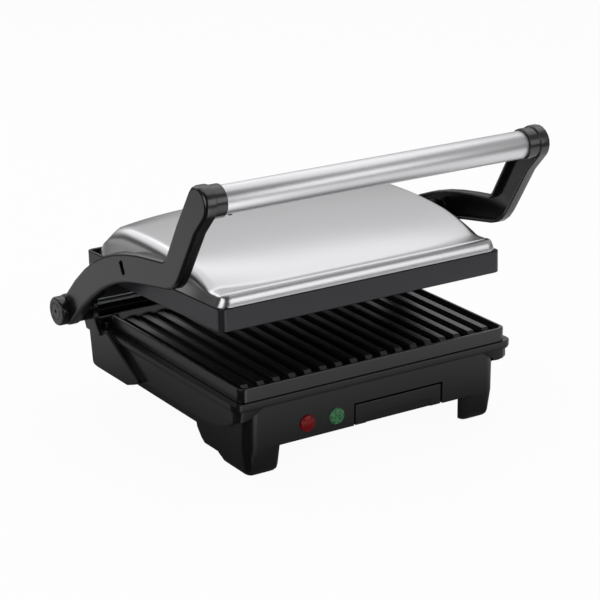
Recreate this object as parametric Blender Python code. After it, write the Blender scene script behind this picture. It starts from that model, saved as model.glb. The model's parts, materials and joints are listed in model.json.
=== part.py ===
"""Panini maker with a floating lid, modelled as an assembly of separate moulded, cast and pressed pieces.

Metres, +Z up, +X to the object's right, the front towards -Y. The lid stands half open, as in use.
While the pieces are built, Y = 0 is the front edge of the lower plate. At the end everything moves
so that the origin lies under the centre of the whole object, on the surface it stands on.
"""
import math

import bmesh
import bpy
import numpy as np
from mathutils import Matrix, Vector

# Overall sizes of the cooking plates, from which the rest is laid out
PLATE_WIDTH = 0.290
PLATE_DEPTH = 0.235
RIM_TOP = 0.0884
RIM_HEIGHT = 0.0128
PLATE_CORNER = 0.007
SEAT_GAP = 0.0003
OVERRUN = 0.004

# Ribs, gutter and drain of the plates
RIB_PITCH = 0.0165
RIB_BASE = 0.0098
RIB_CREST = 0.0070
RIB_HEIGHT = 0.0047
RIB_MARGIN = 0.0125
RIB_RUN_OUT = 0.0040
PLATE_FLOOR = 0.0030
PLATE_WALL = 0.0026
FLOOR_DEPTH = 0.0070
WALL_DRAFT = 0.0020
GUTTER_DEPTH = 0.0013
GUTTER_WIDTH = 0.0080
DRAIN_X = 0.025
DRAIN_BACK = 0.0115
DRAIN_LENGTH = 0.015
DRAIN_WIDTH = 0.0044
SPOUT_WALL = 0.0012
SPOUT_DROP = 0.0070

# Base housing
BEAD_OUT = 0.0070
BEAD_FRONT = 0.0015
BEAD_HEIGHT = 0.0083
BEAD_ROUND = 0.0030
BEAD_CORNER = 0.0085
OPENING_INSET = 0.0060
OPENING_FRONT = 0.0070
OPENING_DROP = 0.0053
WEB = 0.0025
WING_OUT = 0.0045
WING_WALL = 0.0030
WING_DROP = 0.0338
WING_FRONT_DROP = 0.0175
PROW_LENGTH = 0.030
PROW_LEAN = 0.0024
WING_SWEEP = 0.058
WING_ROUND = 0.0030
BODY_INSET = 0.0078
BODY_FRONT = 0.003
BODY_CORNER = 0.012
BODY_BOTTOM = 0.027
REAR_OVERHANG = 0.023
WALL = 0.0032
ROOF = 0.0030
LEG_WIDTH = 0.0402
LEG_TAPER = 0.0024
LEG_ROUND = 0.0066
LEG_LENGTH = 0.095
LEG_FLANK = 0.0045
LEG_SLANT_FRONT = 0.006
LEG_SLANT_BACK = 0.047
DECK_RISE = 0.0037
DECK_FRONT = 0.002
DECK_ROUND = 0.0012

# Main hinge: its axis, the columns of the base that carry it, and what turns on it
HINGE_BEHIND = 0.020
HINGE_ABOVE = 0.0051
KNUCKLE_RADIUS = 0.0140
KNUCKLE_THICK = 0.0057
KNUCKLE_OUT = 0.0137
KNUCKLE_THROAT = 0.024
COLUMN_OUT = 0.0108
COLUMN_DEPTH = 0.094
COLUMN_HEIGHT = 0.0415
COLUMN_ROUND = 0.0016
SHAFT_RADIUS = 0.0045
SHAFT_PAST = 0.0025
BAR_GAP = 0.0008
BAR_RADIUS = 0.0135
BAR_FLAT = 0.0020
BAR_FOOT = 0.0064
CAP_RADIUS = 0.0140
CAP_LENGTH = 0.0083
CAP_RIM = 0.0022
CAP_GROOVE = 0.0010
CAP_HOLE = 0.0017
CAP_HOLE_DEPTH = 0.0018

# Front wall fittings
LAMP_RADIUS = 0.0079
LAMP_BODY = 0.0060
LAMP_DOME = 0.0020
LAMP_FLANGE = 0.0010
LAMP_DEPTH = 0.0085
LAMP_BORE = 0.0028
RED_LAMP_X = -0.074
GREEN_LAMP_X = -0.043
LAMP_HEIGHT = 0.0413
BULB_LENGTH = 0.012
TRAY_X = 0.0255
TRAY_WIDTH = 0.097
TRAY_TOP = 0.0475
TRAY_LENGTH = 0.092
TRAY_INSET = 0.003
TRAY_WALL = 0.0020
TRAY_PANEL = 0.0030
TRAY_RIM_DROP = 0.0040
TRAY_RUNNING = 0.0007
GRIP_DEPTH = 0.0012
GRIP_HEIGHT = 0.0070
GRIP_MARGIN = 0.012

# Underside
COVER_THICK = 0.0025
COVER_GAP = 0.0006
VENT_LENGTH = 0.030
VENT_WIDTH = 0.0035
VENT_PITCH = 0.011
VENT_FROM_FRONT = 0.060
REAR_LEG_X = 0.080
REAR_LEG_IN = 0.027
REAR_LEG_TOP = 0.0135
REAR_LEG_FOOT = 0.0110
PAD_HEIGHT = 0.0020
PAD_RADIUS = 0.0080
PAD_RECESS = 0.0017
FRONT_PAD_BACK = 0.0205
SCREW_HEAD = 0.0034
SCREW_SHANK = 0.0015
SCREW_LENGTH = 0.013
SCREW_SINK = 0.0010
POST_RADIUS = 0.0046
POST_HEIGHT = 0.020
POST_FRONT = 0.105
POST_REAR = 0.013
GLAND_IN = 0.028
GLAND_HEIGHT = 0.048
GLAND_RADIUS = 0.0060
GLAND_FLANGE = 0.0085
GLAND_PROUD = 0.0040
GLAND_BORE = 0.0034

# Heating, the same behind both plates
HEATER_RADIUS = 0.0032
HEATER_MARGIN = 0.036
HEATER_BEND = 0.026
HEATER_GAP = 0.060
REFLECTOR_MARGIN = 0.022
REFLECTOR_THICK = 0.0008
REFLECTOR_LIP = 0.0040
BOSS_RADIUS = 0.0042
BOSS_MARGIN = 0.056
THERMOSTAT_X = -0.060
THERMOSTAT_WIDTH = 0.030
THERMOSTAT_DEPTH = 0.019
THERMOSTAT_HEIGHT = 0.0105
THERMOSTAT_DISC = 0.0082
THERMOSTAT_DISC_THICK = 0.0022
FUSE_X = 0.040
FUSE_RADIUS = 0.0026
FUSE_LENGTH = 0.026
FUSE_LEAD = 0.0008
TERMINAL_WIDTH = 0.034
TERMINAL_DEPTH = 0.016
TERMINAL_HEIGHT = 0.013
TERMINAL_BEHIND = 0.018
TERMINAL_SCREW = 0.0026
TERMINAL_WELL = 0.0040

# Swing arms and handle
TUBE_BACK = 0.0064
TUBE_HEIGHT = 0.2597
TUBE_RADIUS = 0.0128
TUBE_WALL = 0.0015
SPIGOT_LENGTH = 0.018
SOCKET_DEPTH = 0.012
ARM_AWAY = 0.0123
ARM_THICK = 0.0115
ARM_EDGE = 0.0034
ARM_WALL = 0.0026
HUB_GAP = 0.0005
HUB_STEP = 0.0012
ARM_HUB = 0.0150
ARM_HEAD = 0.0160
HEAD_REACH = 0.0110
HEAD_DOME = 0.0028
HEAD_BOSS = 0.0146
ARM_COVER_THICK = 0.0020
ARM_COVER_SINK = 0.0012
BEARING_WALL = 0.0024
LENS_HEIGHT = 0.0140
LENS_WIDTH = 0.0046
LENS_DEPTH = 0.0014
LENS_AHEAD = 0.0065
LENS_ABOVE = 0.0040
LENS_LEAN = math.radians(-27)
HANDLE_SCREW_IN = 0.0100
HANDLE_SCREW_HEAD = 0.0024
HANDLE_SCREW_SHANK = 0.0013
HANDLE_SCREW_LENGTH = 0.0070

# Lid
LID_LAP_SIDE = 0.00675
LID_LAP_END = 0.0049
SKIRT_HEIGHT = 0.0210
SKIRT_WALL = 0.0030
SKIRT_CORNER = 0.0060
SKIRT_ROUND = 0.0012
RIM_RECESS = 0.0005
LEDGE_REACH = 0.0098
LEDGE_THICK = 0.0025
LID_TILT = math.radians(2.73)
PIVOT_BEHIND_MIDDLE = 0.0008
PIVOT_RISE = 0.0342
SHEET = 0.0010
COVER_INSET = 0.0010
COVER_HEIGHT = 0.0375
COVER_MIN_HEIGHT = 0.0020
COVER_CORNER = 0.0060
COVER_LEAN = 0.0030
COVER_SHOULDER = 0.0100
COVER_BOW = 0.0105
COVER_CORNER_LIFT = 0.0060
BOSS_GAP = 0.0005
PIVOT_BOSS = 0.0085
PIVOT_BOSS_GAP = 0.0020
PIVOT_PIN = 0.0058
PIVOT_PIN_PAST = 0.0088
BRACKET_THICK = 0.0035
BRACKET_WIDTH = 0.044
BRACKET_HEIGHT = 0.0270

# Side view of an arm, as shares of the distance from the handle tube to the hinge, back and up
ARM_TOP_SHARES = ((0.996, 0.090), (0.747, 0.502), (0.516, 0.558), (0.256, 0.605))
ARM_NOTCH_SHARES = ((0.240, 0.608), (0.226, 0.622), (0.216, 0.640))
ARM_RISE_BACK_SHARES = ((0.139, 0.848),)
ARM_RISE_FRONT_SHARES = ((0.012, 0.835),)
ARM_TOE_SHARES = ((0.104, 0.606), (0.136, 0.528), (0.156, 0.474), (0.215, 0.456))
ARM_LOWER_SHARES = ((0.215, 0.456), (0.543, 0.366), (0.626, 0.380), (0.932, -0.027))

# Place of the lid's pivot on the arms, in the same shares
PIVOT_SHARES = ((0.5535, 0.4242),)

# Side view of a column, as shares of its depth from the front and of its height from the foot
COLUMN_SHARES = ((0.230, 0.010), (0.850, 0.000), (0.915, 0.020), (0.940, 0.080), (1.000, 0.960),
                 (0.612, 0.990), (0.356, 0.680), (0.020, 0.280), (0.000, 0.215), (0.080, 0.130))

COLUMN_HOLLOW_SHARES = ((0.150, 0.180), (0.230, 0.090), (0.840, 0.085), (0.905, 0.150), (0.950, 0.870),
                        (0.620, 0.870), (0.380, 0.590), (0.120, 0.270))

# Side view of a front leg, as shares of its length back and of the body's ground clearance up
LEG_SHARES = ((0.000, 1.300), (0.000, 0.900), (0.012, 0.550), (0.040, 0.180), (0.080, -0.020),
              (0.400, -0.020), (0.445, 0.030), (0.500, 0.200), (0.560, 0.335), (0.800, 0.335),
              (0.850, 0.480), (0.910, 0.820), (0.920, 1.300))

# Lower edge of a wing's prow, as shares of its length inwards and of the wing's drop at the front
PROW_SHARES = ((0.000, 0.870), (0.030, 0.950), (0.110, 1.020), (0.190, 1.040), (0.283, 1.040), (0.417, 1.000),
               (0.540, 0.935), (0.650, 0.850), (0.760, 0.740), (0.853, 0.620), (1.000, 0.430))

# Profile of the lid cover from front to rear, as shares of its depth and of its height
COVER_SHARES = ((0.000, 0.00), (0.005, 0.150), (0.015, 0.245), (0.027, 0.290), (0.042, 0.305),
                (0.080, 0.400), (0.140, 0.540), (0.235, 0.710), (0.355, 0.860), (0.480, 0.950),
                (0.600, 0.990), (0.700, 1.000), (0.790, 0.975), (0.870, 0.895), (0.930, 0.740),
                (0.968, 0.480), (0.990, 0.200), (1.000, 0.00))
BOW_END_SHARE = 0.30
CROWN_SHARE = 0.10

# Height of a rib at its end, as shares of its run-out and of its height
RIB_END_SHARES = ((0.0, 0.10), (1.0, 1.0))

SIDES = (("left", -1), ("right", 1))
CORNERS = ("front_left", "front_right", "rear_left", "rear_right")
ARC_STEPS = 4

# Colour, roughness and metallic value of each material
BLACK_PLASTIC = ((0.020, 0.020, 0.022), 0.32)
DARK_INNER = ((0.035, 0.035, 0.037), 0.50)
NON_STICK = ((0.012, 0.012, 0.013), 0.38)
STAINLESS = ((0.62, 0.62, 0.63), 0.32, 1.0)
STEEL = ((0.50, 0.50, 0.51), 0.35, 1.0)
ALUMINIUM = ((0.72, 0.72, 0.73), 0.30, 1.0)
RUBBER = ((0.018, 0.018, 0.018), 0.80)
RED_LENS = ((0.45, 0.010, 0.012), 0.20)
GREEN_LENS = ((0.010, 0.30, 0.060), 0.20)
CERAMIC = ((0.70, 0.68, 0.62), 0.60)
GLASS = ((0.80, 0.60, 0.40), 0.10)

# Places that follow from the sizes above
HALF = PLATE_WIDTH / 2
SEAM = RIM_TOP - RIM_HEIGHT - SEAT_GAP
BODY_HALF = HALF - BODY_INSET
COLUMN_FOOT = SEAM - COLUMN_HEIGHT
BODY_BACK = PLATE_DEPTH + REAR_OVERHANG
COVER_TOP = BODY_BOTTOM + COVER_THICK
HINGE_BACK = PLATE_DEPTH + HINGE_BEHIND
HINGE_HEIGHT = RIM_TOP + HINGE_ABOVE
HINGE = (HINGE_BACK, HINGE_HEIGHT)
TUBE_PLACE = (TUBE_BACK, TUBE_HEIGHT)
ARM_REACH = HINGE_BACK - TUBE_BACK
ARM_RISE = TUBE_HEIGHT - HINGE_HEIGHT
PIVOT = [(TUBE_BACK + y * ARM_REACH, HINGE_HEIGHT + z * ARM_RISE) for y, z in PIVOT_SHARES][0]
GLAND_X = BODY_HALF - GLAND_IN
KNUCKLE_OUTER = HALF + KNUCKLE_OUT
KNUCKLE_INNER = KNUCKLE_OUTER - KNUCKLE_THICK
COLUMN_OUTER = HALF + COLUMN_OUT
ARM_INNER = KNUCKLE_OUTER + ARM_AWAY
ARM_OUTER = ARM_INNER + ARM_THICK
HUB_INNER = KNUCKLE_OUTER + HUB_GAP
SHAFT_END = ARM_OUTER + SHAFT_PAST
SHAFT_HOLE = SHAFT_RADIUS + SEAT_GAP
SOCKET_END = ARM_INNER - HEAD_REACH + SOCKET_DEPTH
PIN_HOLE = PIVOT_PIN + SEAT_GAP
LID_WIDTH = PLATE_WIDTH + 2 * LID_LAP_SIDE
LID_DEPTH = PLATE_DEPTH + 2 * LID_LAP_END
PIVOT_FRONT = LID_DEPTH / 2 + PIVOT_BEHIND_MIDDLE
LEDGE_BOTTOM = RIM_RECESS + RIM_HEIGHT + SEAT_GAP
COVER_BASE = SKIRT_HEIGHT + SEAT_GAP
FLOOR_UNDER = -FLOOR_DEPTH - PLATE_FLOOR
HEATER_LEVEL = FLOOR_UNDER - SEAT_GAP - HEATER_RADIUS
REFLECTOR_TOP = HEATER_LEVEL - HEATER_RADIUS - SEAT_GAP
TRAY_LOW = COVER_TOP + TRAY_RUNNING
PAD_TOP = PAD_HEIGHT + SEAT_GAP


def material(name, colour, roughness, metallic=0.0):
    """One Principled material for each sub-part."""
    made = bpy.data.materials.new(name)
    made.use_nodes = True
    shader = made.node_tree.nodes["Principled BSDF"]
    shader.inputs["Base Color"].default_value = (*colour, 1.0)
    shader.inputs["Roughness"].default_value = roughness
    shader.inputs["Metallic"].default_value = metallic
    return made


def mesh_object(name, vertices, faces, look=None):
    mesh = bpy.data.meshes.new(name)
    mesh.from_pydata([tuple(v) for v in vertices], [], faces)
    thing = bpy.data.objects.new(name, mesh)
    bpy.context.collection.objects.link(thing)
    built = bmesh.new()
    built.from_mesh(mesh)
    bmesh.ops.recalc_face_normals(built, faces=built.faces)
    built.to_mesh(mesh)
    built.free()
    if look:
        mesh.materials.append(material(name, *look))
    return thing


def loft(name, rings, look=None):
    """A solid through a row of rings that have the same number of points, closed at both ends."""
    count = len(rings[0])
    vertices = [v for ring in rings for v in ring]
    faces = [tuple(range(count))[::-1]]
    for r in range(len(rings) - 1):
        for i in range(count):
            j = (i + 1) % count
            faces.append((r * count + i, r * count + j, (r + 1) * count + j, (r + 1) * count + i))
    faces.append(tuple(range((len(rings) - 1) * count, len(rings) * count)))
    return mesh_object(name, vertices, faces, look)


def arc(centre, radius, start, end, steps=ARC_STEPS):
    """Points of an arc; the angles are in degrees."""
    return [(centre[0] + radius * math.cos(math.radians(a)), centre[1] + radius * math.sin(math.radians(a)))
            for a in np.linspace(start, end, steps + 1)]


def bezier(controls, steps):
    """Points of a cubic curve, its last control point left out."""
    p0, p1, p2, p3 = (np.array(p, float) for p in controls)
    out = []
    for t in np.linspace(0, 1, steps, endpoint=False):
        s = 1 - t
        out.append(tuple(s ** 3 * p0 + 3 * s * s * t * p1 + 3 * s * t * t * p2 + t ** 3 * p3))
    return out


def rounded_rectangle(low, high, radius, steps=ARC_STEPS):
    """Outline, anticlockwise, of a rectangle with round corners."""
    (x0, y0), (x1, y1) = low, high
    out = []
    for x, y, turn in ((x1 - radius, y0 + radius, -90), (x1 - radius, y1 - radius, 0),
                       (x0 + radius, y1 - radius, 90), (x0 + radius, y0 + radius, 180)):
        out += arc((x, y), radius, turn, turn + 90, steps)
    return out


def inset(outline, distance):
    """The outline moved inwards by a distance; the outline runs anticlockwise."""
    points = [Vector(p) for p in outline]
    out = []
    for i, here in enumerate(points):
        before = (here - points[i - 1]).normalized()
        after = (points[(i + 1) % len(points)] - here).normalized()
        normal = Vector((-(before.y + after.y), before.x + after.x)).normalized()
        stretch = max(abs(normal.dot(Vector((-after.y, after.x)))), 0.5)
        out.append(tuple(here + normal * (distance / stretch)))
    return out


def stacked(name, outline, levels, place, look=None):
    """A solid whose outline is inset by a given amount at each level along its axis."""
    rings = [[place(p, level) for p in (inset(outline, shift) if shift else outline)]
             for level, shift in levels]
    return loft(name, rings, look)


def prism_x(name, outline, levels, look=None):
    return stacked(name, outline, levels, lambda p, x: (x, p[0], p[1]), look)


def prism_y(name, outline, levels, look=None):
    return stacked(name, outline, levels, lambda p, y: (p[0], y, p[1]), look)


def prism_z(name, outline, levels, look=None):
    return stacked(name, outline, levels, lambda p, z: (p[0], p[1], z), look)


def box(name, low, high, look=None):
    outline = ((low[0], low[1]), (high[0], low[1]), (high[0], high[1]), (low[0], high[1]))
    return prism_z(name, outline, ((low[2], 0), (high[2], 0)), look)


def lathe(name, profile, centre, axis, steps=20, look=None):
    """A closed profile of (distance along the axis, radius) turned about an axis through a point."""
    along = Vector(axis)
    side = Vector((0, 0, 1)) if abs(along.z) < abs(along.x) + abs(along.y) else Vector((1, 0, 0))
    other = along.cross(side)
    vertices, faces, rows = [], [], []
    for distance, radius in profile:
        middle = Vector(centre) + along * distance
        if radius == 0:
            rows.append([len(vertices)] * steps)
            vertices.append(middle)
            continue
        rows.append(list(range(len(vertices), len(vertices) + steps)))
        for angle in np.linspace(0, 2 * math.pi, steps, endpoint=False):
            vertices.append(middle + (side * math.cos(angle) + other * math.sin(angle)) * radius)
    for first, second in zip(rows, rows[1:] + rows[:1]):
        for i in range(steps):
            corners = (first[i], first[(i + 1) % steps], second[(i + 1) % steps], second[i])
            unique = list(dict.fromkeys(corners))
            if len(unique) > 2:
                faces.append(tuple(unique))
    thing = mesh_object(name, vertices, faces, look)
    smooth(thing)
    return thing


def rod(name, centre, axis, start, end, radius, steps=20, look=None):
    return lathe(name, ((start, 0), (start, radius), (end, radius), (end, 0)), centre, axis, steps, look)


def tube(name, points, radius, look):
    """A round bar that follows a row of points."""
    curve = bpy.data.curves.new(name, "CURVE")
    curve.dimensions = "3D"
    curve.bevel_depth = radius
    curve.bevel_resolution = 2
    curve.use_fill_caps = True
    spline = curve.splines.new("POLY")
    spline.points.add(len(points) - 1)
    for point, where in zip(spline.points, points):
        point.co = (*where, 1.0)
    thing = bpy.data.objects.new(name, curve)
    bpy.context.collection.objects.link(thing)
    curve.materials.append(material(name, *look))
    return thing


def rounded_route(corners, radius, steps=5):
    """The corners of a route, each inner one rounded to a radius."""
    points = [Vector(c) for c in corners]
    out = [points[0]]
    for before, here, after in zip(points, points[1:], points[2:]):
        back = (before - here).normalized()
        on = (after - here).normalized()
        half = back.angle(on) / 2
        centre = here + (back + on).normalized() * (radius / math.sin(half))
        start = (here + back * (radius / math.tan(half)) - centre).normalized()
        end = (here + on * (radius / math.tan(half)) - centre).normalized()
        for i in range(steps + 1):
            out.append(centre + start.slerp(end, i / steps) * radius)
    out.append(points[-1])
    return out


def combine(target, others, operation):
    """Booleans with hidden helpers that travel with their target."""
    for other in others:
        other.hide_render = True
        other.display_type = "WIRE"
        other.parent = target
        step = target.modifiers.new(operation.title(), "BOOLEAN")
        step.operation = operation
        step.object = other
    return target


def cut(target, *others):
    return combine(target, others, "DIFFERENCE")


def fuse(target, *others):
    return combine(target, others, "UNION")


def joined(name, things, look=None):
    """Several meshes, clear of each other, as one object."""
    vertices, faces = [], []
    for thing in things:
        start = len(vertices)
        vertices += [v.co.copy() for v in thing.data.vertices]
        faces += [tuple(start + i for i in face.vertices) for face in thing.data.polygons]
        bpy.data.objects.remove(thing, do_unlink=True)
    made = mesh_object(name, vertices, faces, look)
    smooth(made)
    return made


def smooth(thing, angle=35):
    thing.data.shade_smooth()
    thing.data.set_sharp_from_angle(angle=math.radians(angle))


def plate_outline(margin=0.0, corner=PLATE_CORNER):
    return rounded_rectangle((-HALF + margin, margin), (HALF - margin, PLATE_DEPTH - margin), corner)


def rib(x):
    """One cooking rib: a low bar with sloped sides that runs out softly at both ends."""
    start = RIB_MARGIN
    end = PLATE_DEPTH - RIB_MARGIN
    stations = [(start + share * RIB_RUN_OUT, rise) for share, rise in RIB_END_SHARES]
    stations += [(end - share * RIB_RUN_OUT, rise) for share, rise in reversed(RIB_END_SHARES)]
    crest = RIB_CREST / 2
    rings = []
    for y, rise in stations:
        top = -FLOOR_DEPTH + RIB_HEIGHT * rise
        rings.append([(x - RIB_BASE / 2, y, -FLOOR_DEPTH - PLATE_FLOOR / 3),
                      (x + RIB_BASE / 2, y, -FLOOR_DEPTH - PLATE_FLOOR / 3), (x + crest, y, top), (x - crest, y, top)])
    return loft("rib", rings)


def grill_plate(name):
    """Cast cooking plate: rim, floor and ribs in one piece, with bosses for the reflector."""
    edge = SEAT_GAP * 2
    plate = prism_z(name, plate_outline(), ((-RIM_HEIGHT, 0), (-edge, 0), (0, edge)), NON_STICK)
    smooth(plate)
    pan = prism_z("pan", plate_outline(PLATE_WALL),
                  ((-FLOOR_DEPTH, WALL_DRAFT), (OVERRUN, -WALL_DRAFT / 2)))
    under = prism_z("under", plate_outline(PLATE_WALL, PLATE_CORNER - PLATE_WALL / 2),
                    ((-RIM_HEIGHT - OVERRUN, 0), (FLOOR_UNDER, 0)))
    cut(plate, pan, under)
    usable = HALF - PLATE_WALL - WALL_DRAFT - RIB_BASE / 2
    each_side = int((usable - GUTTER_DEPTH) / RIB_PITCH)
    fuse(plate, joined("ribs", [rib(i * RIB_PITCH) for i in range(-each_side, each_side + 1)]))
    bosses = [rod("boss", (sx * (HALF - BOSS_MARGIN), y, 0), (0, 0, 1), REFLECTOR_TOP + SEAT_GAP,
                  FLOOR_UNDER + PLATE_FLOOR / 3, BOSS_RADIUS, 12)
              for sx in (-1, 1) for y in (BOSS_MARGIN, PLATE_DEPTH - BOSS_MARGIN)]
    fuse(plate, joined("bosses", bosses))
    return plate


def lower_plate():
    """The lower plate also has a gutter along the front, and a drain slot with a short spout."""
    plate = grill_plate("lower_plate")
    slot_low = (DRAIN_X - DRAIN_LENGTH / 2, DRAIN_BACK - DRAIN_WIDTH / 2)
    slot_high = (DRAIN_X + DRAIN_LENGTH / 2, DRAIN_BACK + DRAIN_WIDTH / 2)
    slot = rounded_rectangle(slot_low, slot_high, DRAIN_WIDTH * 0.49, 4)
    spout = prism_z("spout", inset(slot, -SPOUT_WALL),
                    ((FLOOR_UNDER - SPOUT_DROP, SPOUT_WALL / 3), (FLOOR_UNDER + PLATE_FLOOR / 2, 0)))
    side = HALF - PLATE_WALL - WALL_DRAFT - GUTTER_DEPTH
    front = DRAIN_BACK - GUTTER_WIDTH / 2
    gutter = prism_z("gutter", rounded_rectangle((-side, front), (side, front + GUTTER_WIDTH), GUTTER_WIDTH / 3, 3),
                     ((-FLOOR_DEPTH - GUTTER_DEPTH, GUTTER_DEPTH), (-FLOOR_DEPTH + GUTTER_DEPTH / 4, 0)))
    fuse(plate, spout)
    cut(plate, gutter, prism_z("drain", slot, ((FLOOR_UNDER - SPOUT_DROP - OVERRUN, 0), (0, 0))))
    return [plate]


def heating(prefix):
    """What lies behind a plate: sheathed element, reflector pan and thermostat."""
    x = HALF - HEATER_MARGIN
    gap = HEATER_GAP / 2
    far = PLATE_DEPTH - HEATER_MARGIN
    z = HEATER_LEVEL
    route = ((-gap, far, z), (-x, far, z), (-x, HEATER_MARGIN, z), (x, HEATER_MARGIN, z), (x, far, z), (gap, far, z))
    heater = tube(prefix + "_heater", rounded_route(route, HEATER_BEND), HEATER_RADIUS, STEEL)
    pan = plate_outline(REFLECTOR_MARGIN)
    base = REFLECTOR_TOP - REFLECTOR_LIP
    reflector = prism_z(prefix + "_reflector", pan, ((base, 0), (REFLECTOR_TOP, 0)), STEEL)
    cut(reflector, prism_z("reflector inside", inset(pan, REFLECTOR_THICK),
                           ((base - OVERRUN, 0), (REFLECTOR_TOP - REFLECTOR_THICK, 0))))
    top = REFLECTOR_TOP - REFLECTOR_THICK - SEAT_GAP
    middle = PLATE_DEPTH / 2
    thermostat = box(prefix + "_thermostat",
                     (THERMOSTAT_X - THERMOSTAT_WIDTH / 2, middle - THERMOSTAT_DEPTH / 2,
                      top - THERMOSTAT_DISC_THICK - THERMOSTAT_HEIGHT),
                     (THERMOSTAT_X + THERMOSTAT_WIDTH / 2, middle + THERMOSTAT_DEPTH / 2,
                      top - THERMOSTAT_DISC_THICK), CERAMIC)
    fuse(thermostat, rod("disc", (THERMOSTAT_X, middle, top), (0, 0, -1), 0,
                         THERMOSTAT_DISC_THICK + THERMOSTAT_HEIGHT / 2, THERMOSTAT_DISC))
    return [heater, reflector, thermostat]


def thermal_fuse():
    level = REFLECTOR_TOP - REFLECTOR_THICK - SEAT_GAP - FUSE_RADIUS
    half = FUSE_LENGTH / 2
    lead = half + FUSE_RADIUS * 3
    profile = ((-lead, 0), (-lead, FUSE_LEAD), (-half, FUSE_LEAD), (-half, FUSE_RADIUS), (half, FUSE_RADIUS),
               (half, FUSE_LEAD), (lead, FUSE_LEAD), (lead, 0))
    return [lathe("thermal_fuse", profile, (FUSE_X, PLATE_DEPTH / 2, level), (1, 0, 0), 12, GLASS)]


def wing(side):
    """Side wing: a skirt whose lower edge sweeps up towards the front like a hull."""
    front = BODY_FRONT + WING_WALL / 3
    high = SEAM - WING_FRONT_DROP
    low = SEAM - WING_DROP
    rear = BODY_BACK - WALL * 0.75
    sweep = bezier(((front, high), (front + WING_SWEEP / 8, high - WING_DROP / 4),
                    (front + WING_SWEEP / 2, low), (front + WING_SWEEP, low)), 8)
    outline = sweep + [(front + WING_SWEEP, low), (rear, low), (rear, SEAM - BEAD_HEIGHT / 2),
                       (front, SEAM - BEAD_HEIGHT / 2)]
    outer = HALF + WING_OUT
    levels = ((side * (BODY_HALF - WALL / 2), 0), (side * (outer - WING_ROUND), 0),
              (side * (outer - WING_ROUND / 4), WING_ROUND / 4), (side * outer, WING_ROUND))
    return prism_x("wing", outline, levels)


def prow(side):
    """Front end of a wing: it runs round the corner under the bead and rises like the bow of a boat."""
    front = BODY_FRONT / 8
    deep = front + BEAD_CORNER + WALL / 2
    high = SEAM - BEAD_HEIGHT * 0.4
    rings = []
    for inward, drop in PROW_SHARES:
        from_side = inward * PROW_LENGTH
        x = side * (HALF + WING_OUT - SEAT_GAP - from_side)
        y = front + BEAD_CORNER - math.sqrt(BEAD_CORNER ** 2 - max(0.0, BEAD_CORNER - from_side) ** 2)
        low = SEAM - WING_FRONT_DROP * drop
        lean = PROW_LEAN * (1 + inward) / 2
        rings.append([(x, y, high), (x, y + lean, low), (x, deep, low), (x, deep, high)])
    return loft("prow", rings)


def wing_pocket(side):
    """The wing is hollow and open from below."""
    outer = HALF + WING_OUT - WING_WALL
    low = (BODY_FRONT + WALL, COLUMN_FOOT - OVERRUN)
    high = (BODY_BACK - WALL, SEAM - OPENING_DROP - WEB)
    outline = ((low[0], low[1]), (high[0], low[1]), (high[0], high[1]), (low[0], high[1]))
    return prism_x("wing pocket", outline, ((side * BODY_HALF, 0), (side * outer, 0)))


def column_outline(shares):
    front = BODY_BACK - SEAT_GAP - COLUMN_DEPTH
    return [(front + y * COLUMN_DEPTH, COLUMN_FOOT + z * COLUMN_HEIGHT) for y, z in shares]


def column(side):
    """Rear column: a panel that stands proud of the wing, with a diagonal front edge."""
    levels = ((side * (BODY_HALF + WALL * 2), 0), (side * (COLUMN_OUTER - COLUMN_ROUND), 0),
              (side * (COLUMN_OUTER - COLUMN_ROUND / 3), COLUMN_ROUND / 4),
              (side * COLUMN_OUTER, COLUMN_ROUND))
    return prism_x("column", column_outline(COLUMN_SHARES), levels)


def column_pocket(side):
    levels = ((side * (BODY_HALF + WALL), 0), (side * (COLUMN_OUTER - WING_WALL), 0))
    return prism_x("column pocket", column_outline(COLUMN_HOLLOW_SHARES), levels)


def knuckle(side):
    """Ear of the column round the hinge shaft, with a shallow concave throat in front."""
    low = SEAM - KNUCKLE_THICK
    throat = HINGE_BACK - KNUCKLE_THROAT
    outline = arc(HINGE, KNUCKLE_RADIUS, -50, 0, 3) + arc(HINGE, KNUCKLE_RADIUS, 0, 90, 5)[1:]
    outline += arc(HINGE, KNUCKLE_RADIUS, 90, 200, 6)[1:]
    outline += [(HINGE_BACK - KNUCKLE_RADIUS * 1.18, SEAM + DECK_RISE * 1.3),
                (throat, SEAM - DECK_RISE), (throat, low), (BODY_BACK - SEAT_GAP * 4, low)]
    levels = ((side * KNUCKLE_INNER, 0), (side * (KNUCKLE_OUTER - COLUMN_ROUND / 2), 0),
              (side * KNUCKLE_OUTER, COLUMN_ROUND / 2))
    return prism_x("knuckle", outline, levels)


def leg_profile():
    clear = BODY_BOTTOM - PAD_TOP + PAD_RECESS
    base = BODY_BOTTOM - clear
    return [(BODY_FRONT + y * LEG_LENGTH, base + z * clear) for y, z in reversed(LEG_SHARES)][::-1]


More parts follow.
